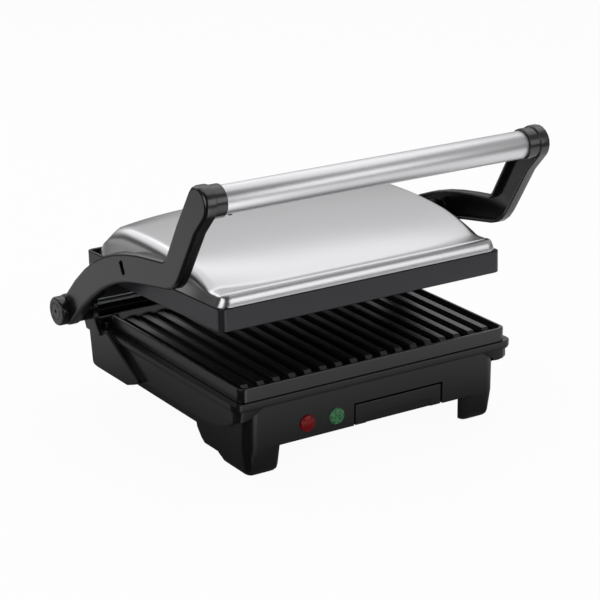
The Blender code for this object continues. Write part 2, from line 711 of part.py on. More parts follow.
def front_leg(side):
    """Front leg: rounded in plan, tapering to the floor, cut to its side view by a second solid."""
    inner = BODY_HALF - LEG_WIDTH
    low = (min(side * inner, side * BODY_HALF), BODY_FRONT)
    high = (max(side * inner, side * BODY_HALF), BODY_FRONT + LEG_LENGTH * 1.1)
    plan = rounded_rectangle(low, high, BODY_CORNER)
    base = PAD_TOP - PAD_RECESS
    levels = ((base, LEG_TAPER + LEG_ROUND), (base + LEG_ROUND * 0.12, LEG_TAPER + LEG_ROUND * 0.5),
              (base + LEG_ROUND * 0.45, LEG_TAPER + LEG_ROUND * 0.15), (base + LEG_ROUND, LEG_TAPER),
              (BODY_BOTTOM + SEAT_GAP, SEAT_GAP / 2), (BODY_BOTTOM + WALL, SEAT_GAP * 2))
    leg = prism_z("front leg", plan, levels)
    flank = prism_x("leg side view", leg_profile(), ((side * (inner - OVERRUN), 0), (side * (BODY_HALF + OVERRUN), 0)))
    return cut(combine(leg, (flank,), "INTERSECT"), behind_leg(side, 0, BODY_HALF - LEG_FLANK))


def behind_leg(side, forward, outer):
    """Space behind a leg: its inner wall runs back on a slant, so that only the flank is long."""
    inner = BODY_HALF - LEG_WIDTH
    slope = (LEG_SLANT_BACK - LEG_SLANT_FRONT) / (LEG_WIDTH - LEG_FLANK)
    start = inner - OVERRUN
    far = BODY_FRONT + LEG_LENGTH * 1.2
    near = [BODY_FRONT + LEG_SLANT_FRONT - forward + (x - inner) * slope for x in (start, outer)]
    plan = ((side * start, near[0]), (side * outer, near[1]), (side * outer, far), (side * start, far))
    return prism_z("behind leg", plan, ((-OVERRUN, 0), (BODY_BOTTOM + WALL + OVERRUN, 0)))


def leg_pocket(side):
    """The leg is hollow from above."""
    inner = BODY_HALF - LEG_WIDTH
    pocket = prism_x("leg pocket", inset(leg_profile(), WALL),
                     ((side * (inner + WALL + LEG_TAPER), 0), (side * (BODY_HALF - WALL - LEG_TAPER), 0)))
    return cut(pocket, behind_leg(side, WALL * 1.6, BODY_HALF + OVERRUN))


def front_pad_x():
    return BODY_HALF - LEG_TAPER - LEG_ROUND - WALL / 3 - PAD_RADIUS


def screw_places():
    x = BODY_HALF - WALL - POST_RADIUS * 0.8
    return [(side * x, y) for y in (POST_FRONT, BODY_BACK - POST_REAR) for _, side in SIDES]


def base_housing():
    """Moulded housing: core, lip bead, wings, columns with hinge ears, front legs and rear deck."""
    outer = HALF + BEAD_OUT
    bead_low = SEAM - BEAD_HEIGHT
    housing = prism_z("base_housing",
                      rounded_rectangle((-outer, -BEAD_FRONT), (outer, BODY_BACK - WALL / 2), BEAD_CORNER),
                      ((bead_low, BEAD_ROUND), (bead_low + BEAD_ROUND * 0.3, BEAD_ROUND * 0.3),
                       (bead_low + BEAD_ROUND, 0), (SEAM - SEAT_GAP, 0), (SEAM, SEAT_GAP)), BLACK_PLASTIC)
    smooth(housing)
    core = prism_z("core", rounded_rectangle((-BODY_HALF, BODY_FRONT), (BODY_HALF, BODY_BACK), BODY_CORNER),
                   ((BODY_BOTTOM, 0), (SEAM - BEAD_HEIGHT / 2, 0)))
    deck_half = HALF + WING_OUT - WING_WALL / 2
    deck = prism_z("deck", rounded_rectangle((-deck_half, PLATE_DEPTH + DECK_FRONT),
                                             (deck_half, BODY_BACK - SEAT_GAP), BODY_CORNER / 3, 3),
                   ((SEAM - ROOF / 2, 0), (SEAM + DECK_RISE - DECK_ROUND, 0), (SEAM + DECK_RISE, DECK_ROUND)))
    fuse(housing, core, deck)
    for _, side in SIDES:
        fuse(housing, wing(side), prow(side), column(side), front_leg(side), knuckle(side))
    cavity = prism_z("cavity", rounded_rectangle((-BODY_HALF + WALL, BODY_FRONT + WALL),
                                                 (BODY_HALF - WALL, BODY_BACK - WALL), BODY_CORNER - WALL),
                     ((BODY_BOTTOM - SEAT_GAP, 0), (SEAM - ROOF, 0)))
    mouth = HALF - OPENING_INSET
    opening = prism_z("opening", rounded_rectangle((-mouth, OPENING_FRONT), (mouth, PLATE_DEPTH - OPENING_INSET),
                                                   PLATE_CORNER),
                      ((SEAM - OPENING_DROP, 0), (SEAM + OVERRUN, 0)))
    cut(housing, cavity, opening)
    for _, side in SIDES:
        cut(housing, wing_pocket(side), column_pocket(side), leg_pocket(side))
        cut(housing, rod("pad recess", (side * front_pad_x(), FRONT_PAD_BACK, 0), (0, 0, 1), -OVERRUN, PAD_TOP,
                         PAD_RADIUS + SEAT_GAP))
    posts = [rod("post", (x, y, 0), (0, 0, 1), COVER_TOP + SEAT_GAP, COVER_TOP + POST_HEIGHT, POST_RADIUS, 12)
             for x, y in screw_places()]
    fuse(housing, joined("posts", posts))
    holes = [rod("screw hole", (x, y, 0), (0, 0, 1), BODY_BOTTOM, COVER_TOP + POST_HEIGHT * 0.8,
                 SCREW_SHANK + SEAT_GAP, 12) for x, y in screw_places()]
    shaft = rod("shaft hole", (0, *HINGE), (1, 0, 0), -KNUCKLE_OUTER - OVERRUN, KNUCKLE_OUTER + OVERRUN, SHAFT_HOLE)
    half = TRAY_WIDTH / 2 + TRAY_RUNNING
    notch = box("tray notch", (TRAY_X - half, BODY_FRONT - OVERRUN, BODY_BOTTOM - OVERRUN),
                (TRAY_X + half, BODY_FRONT + WALL + OVERRUN, TRAY_TOP + TRAY_RUNNING))
    lamps = [rod("lamp hole", (x, BODY_FRONT, LAMP_HEIGHT), (0, 1, 0), -OVERRUN, WALL + OVERRUN,
                 LAMP_BODY + SEAT_GAP) for x in (RED_LAMP_X, GREEN_LAMP_X)]
    gland = rod("gland hole", (GLAND_X, BODY_BACK, GLAND_HEIGHT), (0, 1, 0), -WALL - OVERRUN, OVERRUN,
                GLAND_RADIUS + SEAT_GAP)
    cut(housing, joined("screw holes", holes), shaft, notch, joined("lamp holes", lamps), gland)
    return [housing]


def bottom_cover():
    """Bottom cover with vent slots and the two rear legs."""
    half = BODY_HALF - WALL - COVER_GAP
    front = BODY_FRONT + WALL + COVER_GAP
    rear = BODY_BACK - WALL - COVER_GAP
    cover = prism_z("bottom_cover", rounded_rectangle((-half, front), (half, rear), BODY_CORNER - WALL),
                    ((BODY_BOTTOM, 0), (COVER_TOP, 0)), DARK_INNER)
    leg_back = BODY_BACK - REAR_LEG_IN
    legs = [lathe("rear leg", ((PAD_TOP, 0), (PAD_TOP, REAR_LEG_FOOT - SEAT_GAP), (PAD_TOP + SEAT_GAP * 3, REAR_LEG_FOOT),
                               (BODY_BOTTOM + COVER_THICK / 2, REAR_LEG_TOP), (BODY_BOTTOM + COVER_THICK / 2, 0)),
                  (side * REAR_LEG_X, leg_back, 0), (0, 0, 1)) for _, side in SIDES]
    count = 5
    slots = []
    for _, side in SIDES:
        for i in range(count):
            y = VENT_FROM_FRONT + i * VENT_PITCH
            x = side * (VENT_LENGTH * 0.9)
            slots.append(prism_z("vent", rounded_rectangle((x - VENT_LENGTH / 2, y - VENT_WIDTH / 2),
                                                           (x + VENT_LENGTH / 2, y + VENT_WIDTH / 2),
                                                           VENT_WIDTH * 0.48, 2),
                                 ((BODY_BOTTOM - OVERRUN, 0), (COVER_TOP + OVERRUN, 0))))
    holes = []
    for x, y in screw_places():
        holes.append(lathe("cover hole", ((BODY_BOTTOM - OVERRUN, 0), (BODY_BOTTOM - OVERRUN, SCREW_HEAD + SEAT_GAP),
                                          (BODY_BOTTOM + SCREW_SINK, SCREW_HEAD + SEAT_GAP),
                                          (BODY_BOTTOM + SCREW_SINK, SCREW_SHANK + SEAT_GAP),
                                          (COVER_TOP + OVERRUN, SCREW_SHANK + SEAT_GAP), (COVER_TOP + OVERRUN, 0)),
                           (x, y, 0), (0, 0, 1), 12))
    fuse(cover, joined("rear legs", legs))
    cut(cover, joined("vents", slots), joined("cover holes", holes))
    return [cover]


def bottom_screws():
    head = BODY_BOTTOM + SCREW_SINK - SEAT_GAP
    profile = ((head - SCREW_SINK, 0), (head - SCREW_SINK, SCREW_HEAD * 0.8), (head - SCREW_SINK / 2, SCREW_HEAD),
               (head, SCREW_HEAD), (head, SCREW_SHANK), (head + SCREW_LENGTH, SCREW_SHANK), (head + SCREW_LENGTH, 0))
    return [lathe("bottom_screw_" + name, profile, (*place, 0), (0, 0, 1), 10, STEEL)
            for name, place in zip(CORNERS, screw_places())]


def foot_pads():
    places = [(side * front_pad_x(), FRONT_PAD_BACK) for _, side in SIDES]
    places += [(side * REAR_LEG_X, BODY_BACK - REAR_LEG_IN) for _, side in SIDES]
    profile = ((0, 0), (0, PAD_RADIUS - SEAT_GAP), (SEAT_GAP, PAD_RADIUS), (PAD_HEIGHT, PAD_RADIUS), (PAD_HEIGHT, 0))
    return [lathe("foot_pad_" + name, profile, (*place, 0), (0, 0, 1), 16, RUBBER)
            for name, place in zip(CORNERS, places)]


def drip_tray():
    """Shallow open tray with a front panel that closes the notch in the housing."""
    half = TRAY_WIDTH / 2
    panel = box("drip_tray", (TRAY_X - half, BODY_FRONT + SEAT_GAP, BODY_BOTTOM),
                (TRAY_X + half, BODY_FRONT + SEAT_GAP + TRAY_PANEL, TRAY_TOP), BLACK_PLASTIC)
    low = (TRAY_X - half + TRAY_INSET, BODY_FRONT + TRAY_PANEL / 2)
    high = (TRAY_X + half - TRAY_INSET, BODY_FRONT + TRAY_LENGTH)
    plan = rounded_rectangle(low, high, TRAY_INSET / 2, 3)
    rim = TRAY_TOP - TRAY_RIM_DROP
    body = prism_z("tray body", plan, ((TRAY_LOW, SEAT_GAP), (TRAY_LOW + SEAT_GAP, 0), (rim, 0)))
    inner_low = (low[0] + TRAY_WALL, BODY_FRONT + SEAT_GAP + TRAY_PANEL)
    inner_high = (high[0] - TRAY_WALL, high[1] - TRAY_WALL)
    inside = prism_z("tray inside", rounded_rectangle(inner_low, inner_high, TRAY_INSET / 2, 3),
                     ((TRAY_LOW + TRAY_WALL, 0), (rim + OVERRUN, 0)))
    grip = box("grip", (TRAY_X - half + GRIP_MARGIN, BODY_FRONT - OVERRUN, BODY_BOTTOM - OVERRUN),
               (TRAY_X + half - GRIP_MARGIN, BODY_FRONT + GRIP_DEPTH, BODY_BOTTOM + GRIP_HEIGHT))
    fuse(panel, body)
    cut(panel, inside, grip)
    return [panel]


def lamp(name, x, look):
    """Domed lens with a flange on the wall and a bore for its bulb."""
    flange = -LAMP_FLANGE - SEAT_GAP
    profile = ((flange - LAMP_DOME, 0), (flange - LAMP_DOME * 0.92, LAMP_RADIUS * 0.35),
               (flange - LAMP_DOME * 0.65, LAMP_RADIUS * 0.68), (flange - LAMP_DOME * 0.2, LAMP_RADIUS * 0.93),
               (flange + LAMP_FLANGE / 2, LAMP_RADIUS), (-SEAT_GAP, LAMP_RADIUS), (-SEAT_GAP, LAMP_BODY),
               (LAMP_DEPTH, LAMP_BODY), (LAMP_DEPTH, LAMP_BORE), (WALL, LAMP_BORE), (WALL, 0))
    return lathe(name, profile, (x, BODY_FRONT, LAMP_HEIGHT), (0, 1, 0), 16, look)


def lamps():
    pieces = []
    for name, x, look in (("red", RED_LAMP_X, RED_LENS), ("green", GREEN_LAMP_X, GREEN_LENS)):
        pieces.append(lamp(name + "_lamp_lens", x, look))
        pieces.append(rod(name + "_lamp_bulb", (x, BODY_FRONT, LAMP_HEIGHT), (0, 1, 0), WALL + SEAT_GAP,
                          WALL + BULB_LENGTH, LAMP_BORE - SEAT_GAP, 12, GLASS))
    return pieces


def cord_gland():
    """Bushing in the rear wall where the mains lead enters."""
    profile = ((-WALL * 2, GLAND_BORE), (-WALL * 2, GLAND_RADIUS), (SEAT_GAP, GLAND_RADIUS), (SEAT_GAP, GLAND_FLANGE),
               (GLAND_PROUD / 2, GLAND_FLANGE), (GLAND_PROUD, GLAND_FLANGE * 0.8), (GLAND_PROUD, GLAND_BORE))
    return [lathe("cord_gland", profile, (GLAND_X, BODY_BACK, GLAND_HEIGHT), (0, 1, 0), 16, RUBBER)]


def terminal_block():
    rear = BODY_BACK - WALL - TERMINAL_BEHIND
    low = (GLAND_X - TERMINAL_WIDTH * 0.7, rear - TERMINAL_DEPTH, COVER_TOP + SEAT_GAP)
    high = (low[0] + TERMINAL_WIDTH, rear, low[2] + TERMINAL_HEIGHT)
    block = box("terminal_block", low, high, CERAMIC)
    wells = [rod("well", (low[0] + TERMINAL_WIDTH * share / 6, rear - TERMINAL_DEPTH / 2, high[2]), (0, 0, 1),
                 -TERMINAL_WELL, OVERRUN, TERMINAL_SCREW, 12) for share in (1, 3, 5)]
    cut(block, joined("wells", wells))
    return [block]


def on_arm(shares):
    return [(TUBE_BACK + y * ARM_REACH, HINGE_HEIGHT + z * ARM_RISE) for y, z in shares]


def arm_outline():
    """Side view of an arm: a band from the hinge hub forward, then up to the round handle head."""
    outline = bezier(on_arm(ARM_TOP_SHARES), 9)
    outline += on_arm(ARM_NOTCH_SHARES) + on_arm(ARM_RISE_BACK_SHARES)
    outline += arc(TUBE_PLACE, ARM_HEAD, 30, 90, 3) + arc(TUBE_PLACE, ARM_HEAD, 90, 180, 5)[1:]
    outline += arc(TUBE_PLACE, ARM_HEAD, 180, 218, 3)[1:]
    outline += on_arm(ARM_RISE_FRONT_SHARES)
    outline += bezier(on_arm(ARM_TOE_SHARES), 4) + bezier(on_arm(ARM_LOWER_SHARES), 10)
    outline += arc(HINGE, ARM_HUB, 228, 270, 2) + arc(HINGE, ARM_HUB, 270, 360, 5)[1:]
    outline += arc(HINGE, ARM_HUB, 360, 440, 4)[1:]
    return outline


def arm_inside(name, margin, start, end, side):
    """The space inside an arm shell."""
    return prism_x(name, inset(arm_outline(), margin), ((side * start, 0), (side * end, 0)))


def arm(name, side):
    """Moulded arm shell, open towards the lid, with hub, handle socket and spigot, and pivot bearing."""
    shell = prism_x(name, arm_outline(),
                    ((side * ARM_INNER, SEAT_GAP * 2), (side * (ARM_INNER + SEAT_GAP * 2), 0),
                     (side * (ARM_OUTER - ARM_EDGE), 0), (side * (ARM_OUTER - ARM_EDGE * 0.5), ARM_EDGE * 0.134),
                     (side * (ARM_OUTER - ARM_EDGE * 0.134), ARM_EDGE * 0.5), (side * ARM_OUTER, ARM_EDGE)),
                    BLACK_PLASTIC)
    smooth(shell)
    floor = ARM_OUTER - ARM_WALL
    sunk = floor + ARM_WALL / 3
    axis = (side, 0, 0)
    bearing_start = ARM_INNER + ARM_COVER_SINK + ARM_COVER_THICK + SEAT_GAP
    bearing = lathe("bearing", ((bearing_start, PIN_HOLE), (sunk, PIN_HOLE), (sunk, PIN_HOLE + BEARING_WALL),
                                (bearing_start, PIN_HOLE + BEARING_WALL)), (0, *PIVOT), axis)
    head = ARM_INNER - HEAD_REACH
    inner = TUBE_RADIUS - TUBE_WALL - SEAT_GAP
    socket = SOCKET_END + SEAT_GAP
    handle_end = ((head - SPIGOT_LENGTH, 0), (head - SPIGOT_LENGTH, inner), (socket, inner),
                  (socket, TUBE_RADIUS + SEAT_GAP), (head, TUBE_RADIUS + SEAT_GAP), (head, HEAD_BOSS),
                  (floor + ARM_WALL / 2, HEAD_BOSS), (floor + ARM_WALL / 2, HEAD_BOSS * 0.81),
                  (ARM_OUTER + HEAD_DOME * 0.35, HEAD_BOSS * 0.80), (ARM_OUTER + HEAD_DOME * 0.75, HEAD_BOSS * 0.66),
                  (ARM_OUTER + HEAD_DOME * 0.95, HEAD_BOSS * 0.42), (ARM_OUTER + HEAD_DOME, 0))
    cut(shell, arm_inside("arm inside", ARM_WALL, ARM_INNER - OVERRUN, floor, side))
    fuse(shell, bearing, lathe("handle end", handle_end, (0, *TUBE_PLACE), axis),
         rod("hub", (0, *HINGE), axis, HUB_INNER, sunk, ARM_HUB - HUB_STEP))
    screw_x = side * (head - HANDLE_SCREW_IN)
    lens = []
    for y, z in rounded_rectangle((-LENS_WIDTH / 2, -LENS_HEIGHT / 2), (LENS_WIDTH / 2, LENS_HEIGHT / 2),
                                  LENS_WIDTH * 0.4, 3):
        lens.append((PIVOT[0] - LENS_AHEAD + y * math.cos(LENS_LEAN) - z * math.sin(LENS_LEAN),
                     PIVOT[1] + LENS_ABOVE + y * math.sin(LENS_LEAN) + z * math.cos(LENS_LEAN)))
    cut(shell, rod("screw hole", (screw_x, *TUBE_PLACE), (0, 0, -1), 0, TUBE_RADIUS + OVERRUN,
                   HANDLE_SCREW_SHANK + SEAT_GAP, 12),
        prism_x("slot", lens, ((side * (ARM_OUTER - LENS_DEPTH), 0), (side * (ARM_OUTER + OVERRUN), 0))),
        rod("shaft hole", (0, *HINGE), axis, HUB_INNER - OVERRUN, ARM_OUTER + OVERRUN, SHAFT_HOLE))
    return shell


def arm_cover(name, side):
    """Inner cover of an arm, let into the shell, with a hole for the pivot pin."""
    start = ARM_INNER + ARM_COVER_SINK
    end = start + ARM_COVER_THICK
    cover = arm_inside(name, ARM_WALL + SEAT_GAP, start, end, side)
    cover.data.materials.append(material(name, *DARK_INNER))
    for place, radius in ((HINGE, ARM_HUB - HUB_STEP + SEAT_GAP), (TUBE_PLACE, HEAD_BOSS + SEAT_GAP),
                          (PIVOT, PIN_HOLE)):
        cut(cover, rod("cover hole", (0, *place), (side, 0, 0), start - OVERRUN, end + OVERRUN, radius))
    return cover


def hinge_cap(name, side):
    """Turned cap over the end of the shaft, with a groove and a centre hole in its face."""
    back = ARM_OUTER + SEAT_GAP
    face = back + CAP_LENGTH
    groove = CAP_RADIUS * 0.55
    profile = ((back, SHAFT_HOLE), (back, CAP_RADIUS), (face - CAP_RIM, CAP_RADIUS),
               (face - CAP_RIM * 0.3, CAP_RADIUS - CAP_RIM * 0.3), (face, CAP_RADIUS - CAP_RIM),
               (face, groove + CAP_GROOVE), (face - CAP_GROOVE, groove + CAP_GROOVE / 2), (face, groove),
               (face, CAP_HOLE), (face - CAP_HOLE_DEPTH, CAP_HOLE), (face - CAP_HOLE_DEPTH, 0),
               (SHAFT_END + SEAT_GAP, 0), (SHAFT_END + SEAT_GAP, SHAFT_HOLE))
    return lathe(name, profile, (0, *HINGE), (side, 0, 0), 24, BLACK_PLASTIC)


def hinge_bar():
    """Round bar between the columns, with a step in front for the rear edge of the shut lid."""
    start = 180 + math.degrees(math.asin(BAR_FOOT / BAR_RADIUS))
    end = 450 + math.degrees(math.asin(BAR_FLAT / BAR_RADIUS))
    outline = [(-BAR_FLAT, -BAR_FOOT)] + arc((0, 0), BAR_RADIUS, start, end, 16)
    swing = math.asin((PIVOT[1] - HINGE_HEIGHT) / math.dist(PIVOT, HINGE)) - closed_angle()
    turned = [(HINGE_BACK + y * math.cos(swing) + z * math.sin(swing),
               HINGE_HEIGHT - y * math.sin(swing) + z * math.cos(swing)) for y, z in outline]
    half = KNUCKLE_INNER - BAR_GAP
    bar = prism_x("hinge_bar", turned, ((-half, 0), (half, 0)), BLACK_PLASTIC)
    smooth(bar)
    return cut(bar, rod("shaft hole", (0, *HINGE), (1, 0, 0), -half - OVERRUN, half + OVERRUN, SHAFT_HOLE))


def closed_angle():
    """Angle of the line from the hinge to the lid's pivot when the lid lies shut."""
    rise = PIVOT_RISE - RIM_RECESS - HINGE_ABOVE
    return math.asin(rise / math.dist(PIVOT, HINGE))


def handle():
    """Handle tube over the spigots of both arms, held by a small screw at each end."""
    end = SOCKET_END - SEAT_GAP
    inner = TUBE_RADIUS - TUBE_WALL
    bar = lathe("handle_tube", ((-end, inner), (-end, TUBE_RADIUS), (end, TUBE_RADIUS), (end, inner)),
                (0, *TUBE_PLACE), (1, 0, 0), 32, ALUMINIUM)
    x = ARM_INNER - HEAD_REACH - HANDLE_SCREW_IN
    cut(bar, joined("screw holes", [rod("hole", (side * x, *TUBE_PLACE), (0, 0, -1), inner - OVERRUN / 2,
                                        TUBE_RADIUS + OVERRUN, HANDLE_SCREW_SHANK + SEAT_GAP, 12) for _, side in SIDES]))
    under = TUBE_RADIUS + SEAT_GAP
    profile = ((under - HANDLE_SCREW_LENGTH, 0), (under - HANDLE_SCREW_LENGTH, HANDLE_SCREW_SHANK),
               (under, HANDLE_SCREW_SHANK), (under, HANDLE_SCREW_HEAD),
               (under + HANDLE_SCREW_SHANK / 2, HANDLE_SCREW_HEAD),
               (under + HANDLE_SCREW_SHANK, HANDLE_SCREW_HEAD / 2), (under + HANDLE_SCREW_SHANK, 0))
    screws = [lathe("handle_screw_" + name, profile, (side * x, *TUBE_PLACE), (0, 0, -1), 12, STEEL)
              for name, side in SIDES]
    return [bar] + screws


def arms_and_hinge():
    pieces = []
    for name, side in SIDES:
        pieces += [arm(name + "_arm", side), arm_cover(name + "_arm_cover", side),
                   hinge_cap("hinge_cap_" + name, side)]
    pieces.append(rod("hinge_shaft", (0, *HINGE), (1, 0, 0), -SHAFT_END, SHAFT_END, SHAFT_RADIUS, 24, STEEL))
    pieces.append(hinge_bar())
    return pieces + handle()


def lid_outline(margin=0.0, corner=SKIRT_CORNER):
    half = LID_WIDTH / 2
    return rounded_rectangle((-half + margin, margin), (half - margin, LID_DEPTH - margin), corner)


def lid_skirt():
    """Moulded skirt of the lid with a ledge inside that carries plate, brackets and cover."""
    skirt = prism_z("lid_skirt", lid_outline(),
                    ((0, SKIRT_ROUND), (SKIRT_ROUND * 0.3, SKIRT_ROUND * 0.3), (SKIRT_ROUND, 0),
                     (SKIRT_HEIGHT - SEAT_GAP, 0), (SKIRT_HEIGHT, SEAT_GAP)), BLACK_PLASTIC)
    smooth(skirt)
    inner = lid_outline(SKIRT_WALL, SKIRT_CORNER / 2)
    cut(skirt, prism_z("below ledge", inner, ((-OVERRUN, 0), (LEDGE_BOTTOM, 0))),
        prism_z("above ledge", inner, ((LEDGE_BOTTOM + LEDGE_THICK, 0), (SKIRT_HEIGHT + OVERRUN, 0))),
        prism_z("ledge opening", lid_outline(SKIRT_WALL + LEDGE_REACH),
                ((LEDGE_BOTTOM - OVERRUN / 2, 0), (LEDGE_BOTTOM + LEDGE_THICK + OVERRUN / 2, 0))))
    return skirt


def cover_section(y_share, height_share, thick):
    """Section across the lid cover: side walls, round shoulders and a slightly crowned top."""
    depth = LID_DEPTH - 2 * (COVER_INSET + thick)
    from_end = depth * min(y_share, 1 - y_share)
    bow = max(0.0, 1 - y_share / BOW_END_SHARE) * min(1.0, y_share * 100)
    near = min(1.0, (from_end + bow * COVER_BOW) / COVER_CORNER)
    half = LID_WIDTH / 2 - COVER_INSET - thick - COVER_CORNER * (1 - math.sqrt(1 - (1 - near) ** 2))
    height = max(COVER_HEIGHT * height_share, COVER_MIN_HEIGHT) - thick
    lift = bow * COVER_CORNER_LIFT * min(1.0, height_share * 4)
    edge = height * (1 - CROWN_SHARE) + lift
    shoulder = min(COVER_SHOULDER, edge * 0.7)
    flat = half - COVER_LEAN * min(1.0, edge / COVER_HEIGHT) - shoulder
    base = COVER_BASE - (OVERRUN if thick else 0)
    right = [(half, base), (flat + shoulder, COVER_BASE + edge - shoulder)]
    for turn in (25, 50, 72):
        right.append((flat + shoulder * math.cos(math.radians(turn)),
                      COVER_BASE + edge - shoulder * (1 - math.sin(math.radians(turn)))))
    steps = 5
    for i in range(steps):
        u = 1 - i / steps
        right.append((flat * u, COVER_BASE + height * (1 - CROWN_SHARE * u * u) + lift * u * u))
    across = right + [(0, COVER_BASE + height)] + [(-x, z) for x, z in reversed(right)]
    start = COVER_INSET + thick + depth * y_share
    return [(x, start + bow * COVER_BOW * (x / half) ** 2, z) for x, z in across]


def lid_cover():
    """Pressed steel cover: low along the front border, a crease, then a long rise to the crest."""
    cover = loft("lid_cover", [cover_section(y, z, 0) for y, z in COVER_SHARES], STAINLESS)
    smooth(cover, 30)
    inside = loft("cover inside", [cover_section(y, z, SHEET) for y, z in COVER_SHARES])
    cut(cover, inside)
    for _, side in SIDES:
        cut(cover, rod("boss hole", (0, PIVOT_FRONT, PIVOT_RISE), (side, 0, 0), BODY_HALF, LID_WIDTH / 2 + OVERRUN,
                       PIVOT_BOSS + BOSS_GAP, 24))
    return cover


def lid_pivot(name, side):
    """Bracket on the ledge of the skirt, with a boss through the cover and a pin into the arm."""
    inner = LID_WIDTH / 2 - SKIRT_WALL - LEDGE_REACH + SEAT_GAP
    low = LEDGE_BOTTOM + LEDGE_THICK + SEAT_GAP
    half = BRACKET_WIDTH / 2
    outline = rounded_rectangle((PIVOT_FRONT - half, low), (PIVOT_FRONT + half, low + BRACKET_HEIGHT), PIVOT_BOSS / 2, 3)
    bracket = prism_x(name, outline, ((side * inner, 0), (side * (inner + BRACKET_THICK), 0)), STEEL)
    smooth(bracket)
    end = ARM_INNER + ARM_COVER_SINK - PIVOT_BOSS_GAP
    profile = ((inner + BRACKET_THICK / 2, 0), (inner + BRACKET_THICK / 2, PIVOT_BOSS), (end, PIVOT_BOSS),
               (end, PIVOT_PIN), (ARM_INNER + PIVOT_PIN_PAST, PIVOT_PIN), (ARM_INNER + PIVOT_PIN_PAST, 0))
    return fuse(bracket, lathe("boss", profile, (0, PIVOT_FRONT, PIVOT_RISE), (side, 0, 0)))


def empty(name, location, parent=None, turn=0.0):
    made = bpy.data.objects.new(name, None)
    made.location = location
    made.rotation_euler = (turn, 0, 0)
    made.parent = parent
    bpy.context.collection.objects.link(made)
    return made


def attach(pieces, parent, origin=(0, 0, 0)):
    """Hang pieces on an empty whose place in their own coordinates is the origin given."""
    for piece in pieces:
        piece.parent = parent
        piece.matrix_parent_inverse = Matrix.Translation(-Vector(origin))


def build():
    for old in list(bpy.data.objects):
        bpy.data.objects.remove(old, do_unlink=True)
    middle = (HINGE_BACK + ARM_HUB + TUBE_BACK - ARM_HEAD) / 2
    whole = empty("whole", (0, -middle, 0))
    arms_axis = empty("arms_axis", (0, *HINGE), whole)
    lid_axis = empty("lid_axis", (0, *PIVOT), whole, -LID_TILT)
    lower_place = empty("lower_plate_place", (0, 0, RIM_TOP), whole)
    upper_place = empty("upper_plate_place",
                        (0, LID_LAP_END + PLATE_DEPTH - PIVOT_FRONT, RIM_RECESS - PIVOT_RISE), lid_axis, math.pi)
    attach(base_housing() + bottom_cover() + bottom_screws() + foot_pads() + lamps() + cord_gland()
           + terminal_block() + drip_tray(), whole)
    attach(lower_plate() + heating("lower") + thermal_fuse(), lower_place)
    attach([grill_plate("upper_plate")] + heating("upper"), upper_place)
    attach([lid_skirt(), lid_cover()] + [lid_pivot("lid_pivot_" + name, side) for name, side in SIDES],
           lid_axis, (0, PIVOT_FRONT, PIVOT_RISE))
    attach(arms_and_hinge(), arms_axis, (0, *HINGE))


build()
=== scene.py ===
# %% [markdown]
# # Panini maker with a floating lid
#
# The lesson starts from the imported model: every solid already has its size and its place, in
# metres. What is left to make here is the finish of each piece, the pressed sheet of the lid, the
# small moulded details that are too fine for the solids, the light and the camera.

# %% Load the frame
import json
import math

import bpy
from mathutils import Matrix, Vector


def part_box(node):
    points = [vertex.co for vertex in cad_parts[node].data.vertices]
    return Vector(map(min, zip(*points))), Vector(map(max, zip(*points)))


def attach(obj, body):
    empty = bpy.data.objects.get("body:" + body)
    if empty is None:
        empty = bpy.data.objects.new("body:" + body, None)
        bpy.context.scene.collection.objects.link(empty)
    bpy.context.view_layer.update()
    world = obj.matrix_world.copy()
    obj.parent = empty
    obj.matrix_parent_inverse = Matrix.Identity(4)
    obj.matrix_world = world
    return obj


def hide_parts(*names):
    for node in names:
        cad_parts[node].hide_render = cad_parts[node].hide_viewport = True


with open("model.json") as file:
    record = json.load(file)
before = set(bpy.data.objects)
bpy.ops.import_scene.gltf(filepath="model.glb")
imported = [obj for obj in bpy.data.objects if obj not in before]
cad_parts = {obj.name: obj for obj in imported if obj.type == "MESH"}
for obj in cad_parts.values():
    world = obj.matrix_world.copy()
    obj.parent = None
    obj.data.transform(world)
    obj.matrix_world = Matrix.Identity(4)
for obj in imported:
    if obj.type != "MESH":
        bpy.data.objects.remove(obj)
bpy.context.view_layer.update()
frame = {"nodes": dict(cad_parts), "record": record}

nodes = frame["nodes"]
joints = {row["name"]: row for row in frame["record"]["behaviour"]["joints"]}

# %% [markdown]
# Colours are written as sRGB hex values, as they are read off a colour chart. A shader works in
# linear light, so one function turns them.

# %% Colour
def linear(code):
    """The linear RGBA colour of an sRGB hex value."""
    shares = [int(code[i:i + 2], 16) / 255 for i in (0, 2, 4)]
    return [c / 12.92 if c <= 0.04045 else ((c + 0.055) / 1.055) ** 2.4 for c in shares] + [1.0]


print("mid grey 808080 is", round(linear("808080")[0], 3), "in linear light")

# %% [markdown]
# A material is a small graph. One helper gives a node what its sockets need, and another adds a
# node with its settings and links, so that each finish below reads as a list of what goes into
# it. Constants stand on the shader's own sockets, where an export can find them.

# %% Node helpers
def join(node, links):
    """Gives sockets their sources: an output, a node for its first output, or a plain value."""
    for socket, source in links.items():
        if isinstance(source, bpy.types.Node):
            source = source.outputs[0]
        if isinstance(source, bpy.types.NodeSocket):
            node.id_data.links.new(source, node.inputs[socket])
        else:
            node.inputs[socket].default_value = source


def add(material, kind, links=None, stops=(), **settings):
    """Adds a node. Settings are attributes or socket names, stops a ramp's places and colours."""
    made = material.node_tree.nodes.new("ShaderNode" + kind)
    for name, value in settings.items():
        if hasattr(made, name):
            setattr(made, name, value)
        else:
            made.inputs[name.replace("_", " ")].default_value = value
    join(made, links or {})
    if stops:
        elements = made.color_ramp.elements
        while len(elements) < len(stops):
            elements.new(0.5)
        for element, (position, colour) in zip(elements, stops):
            element.position = position
            element.color = colour
    return made


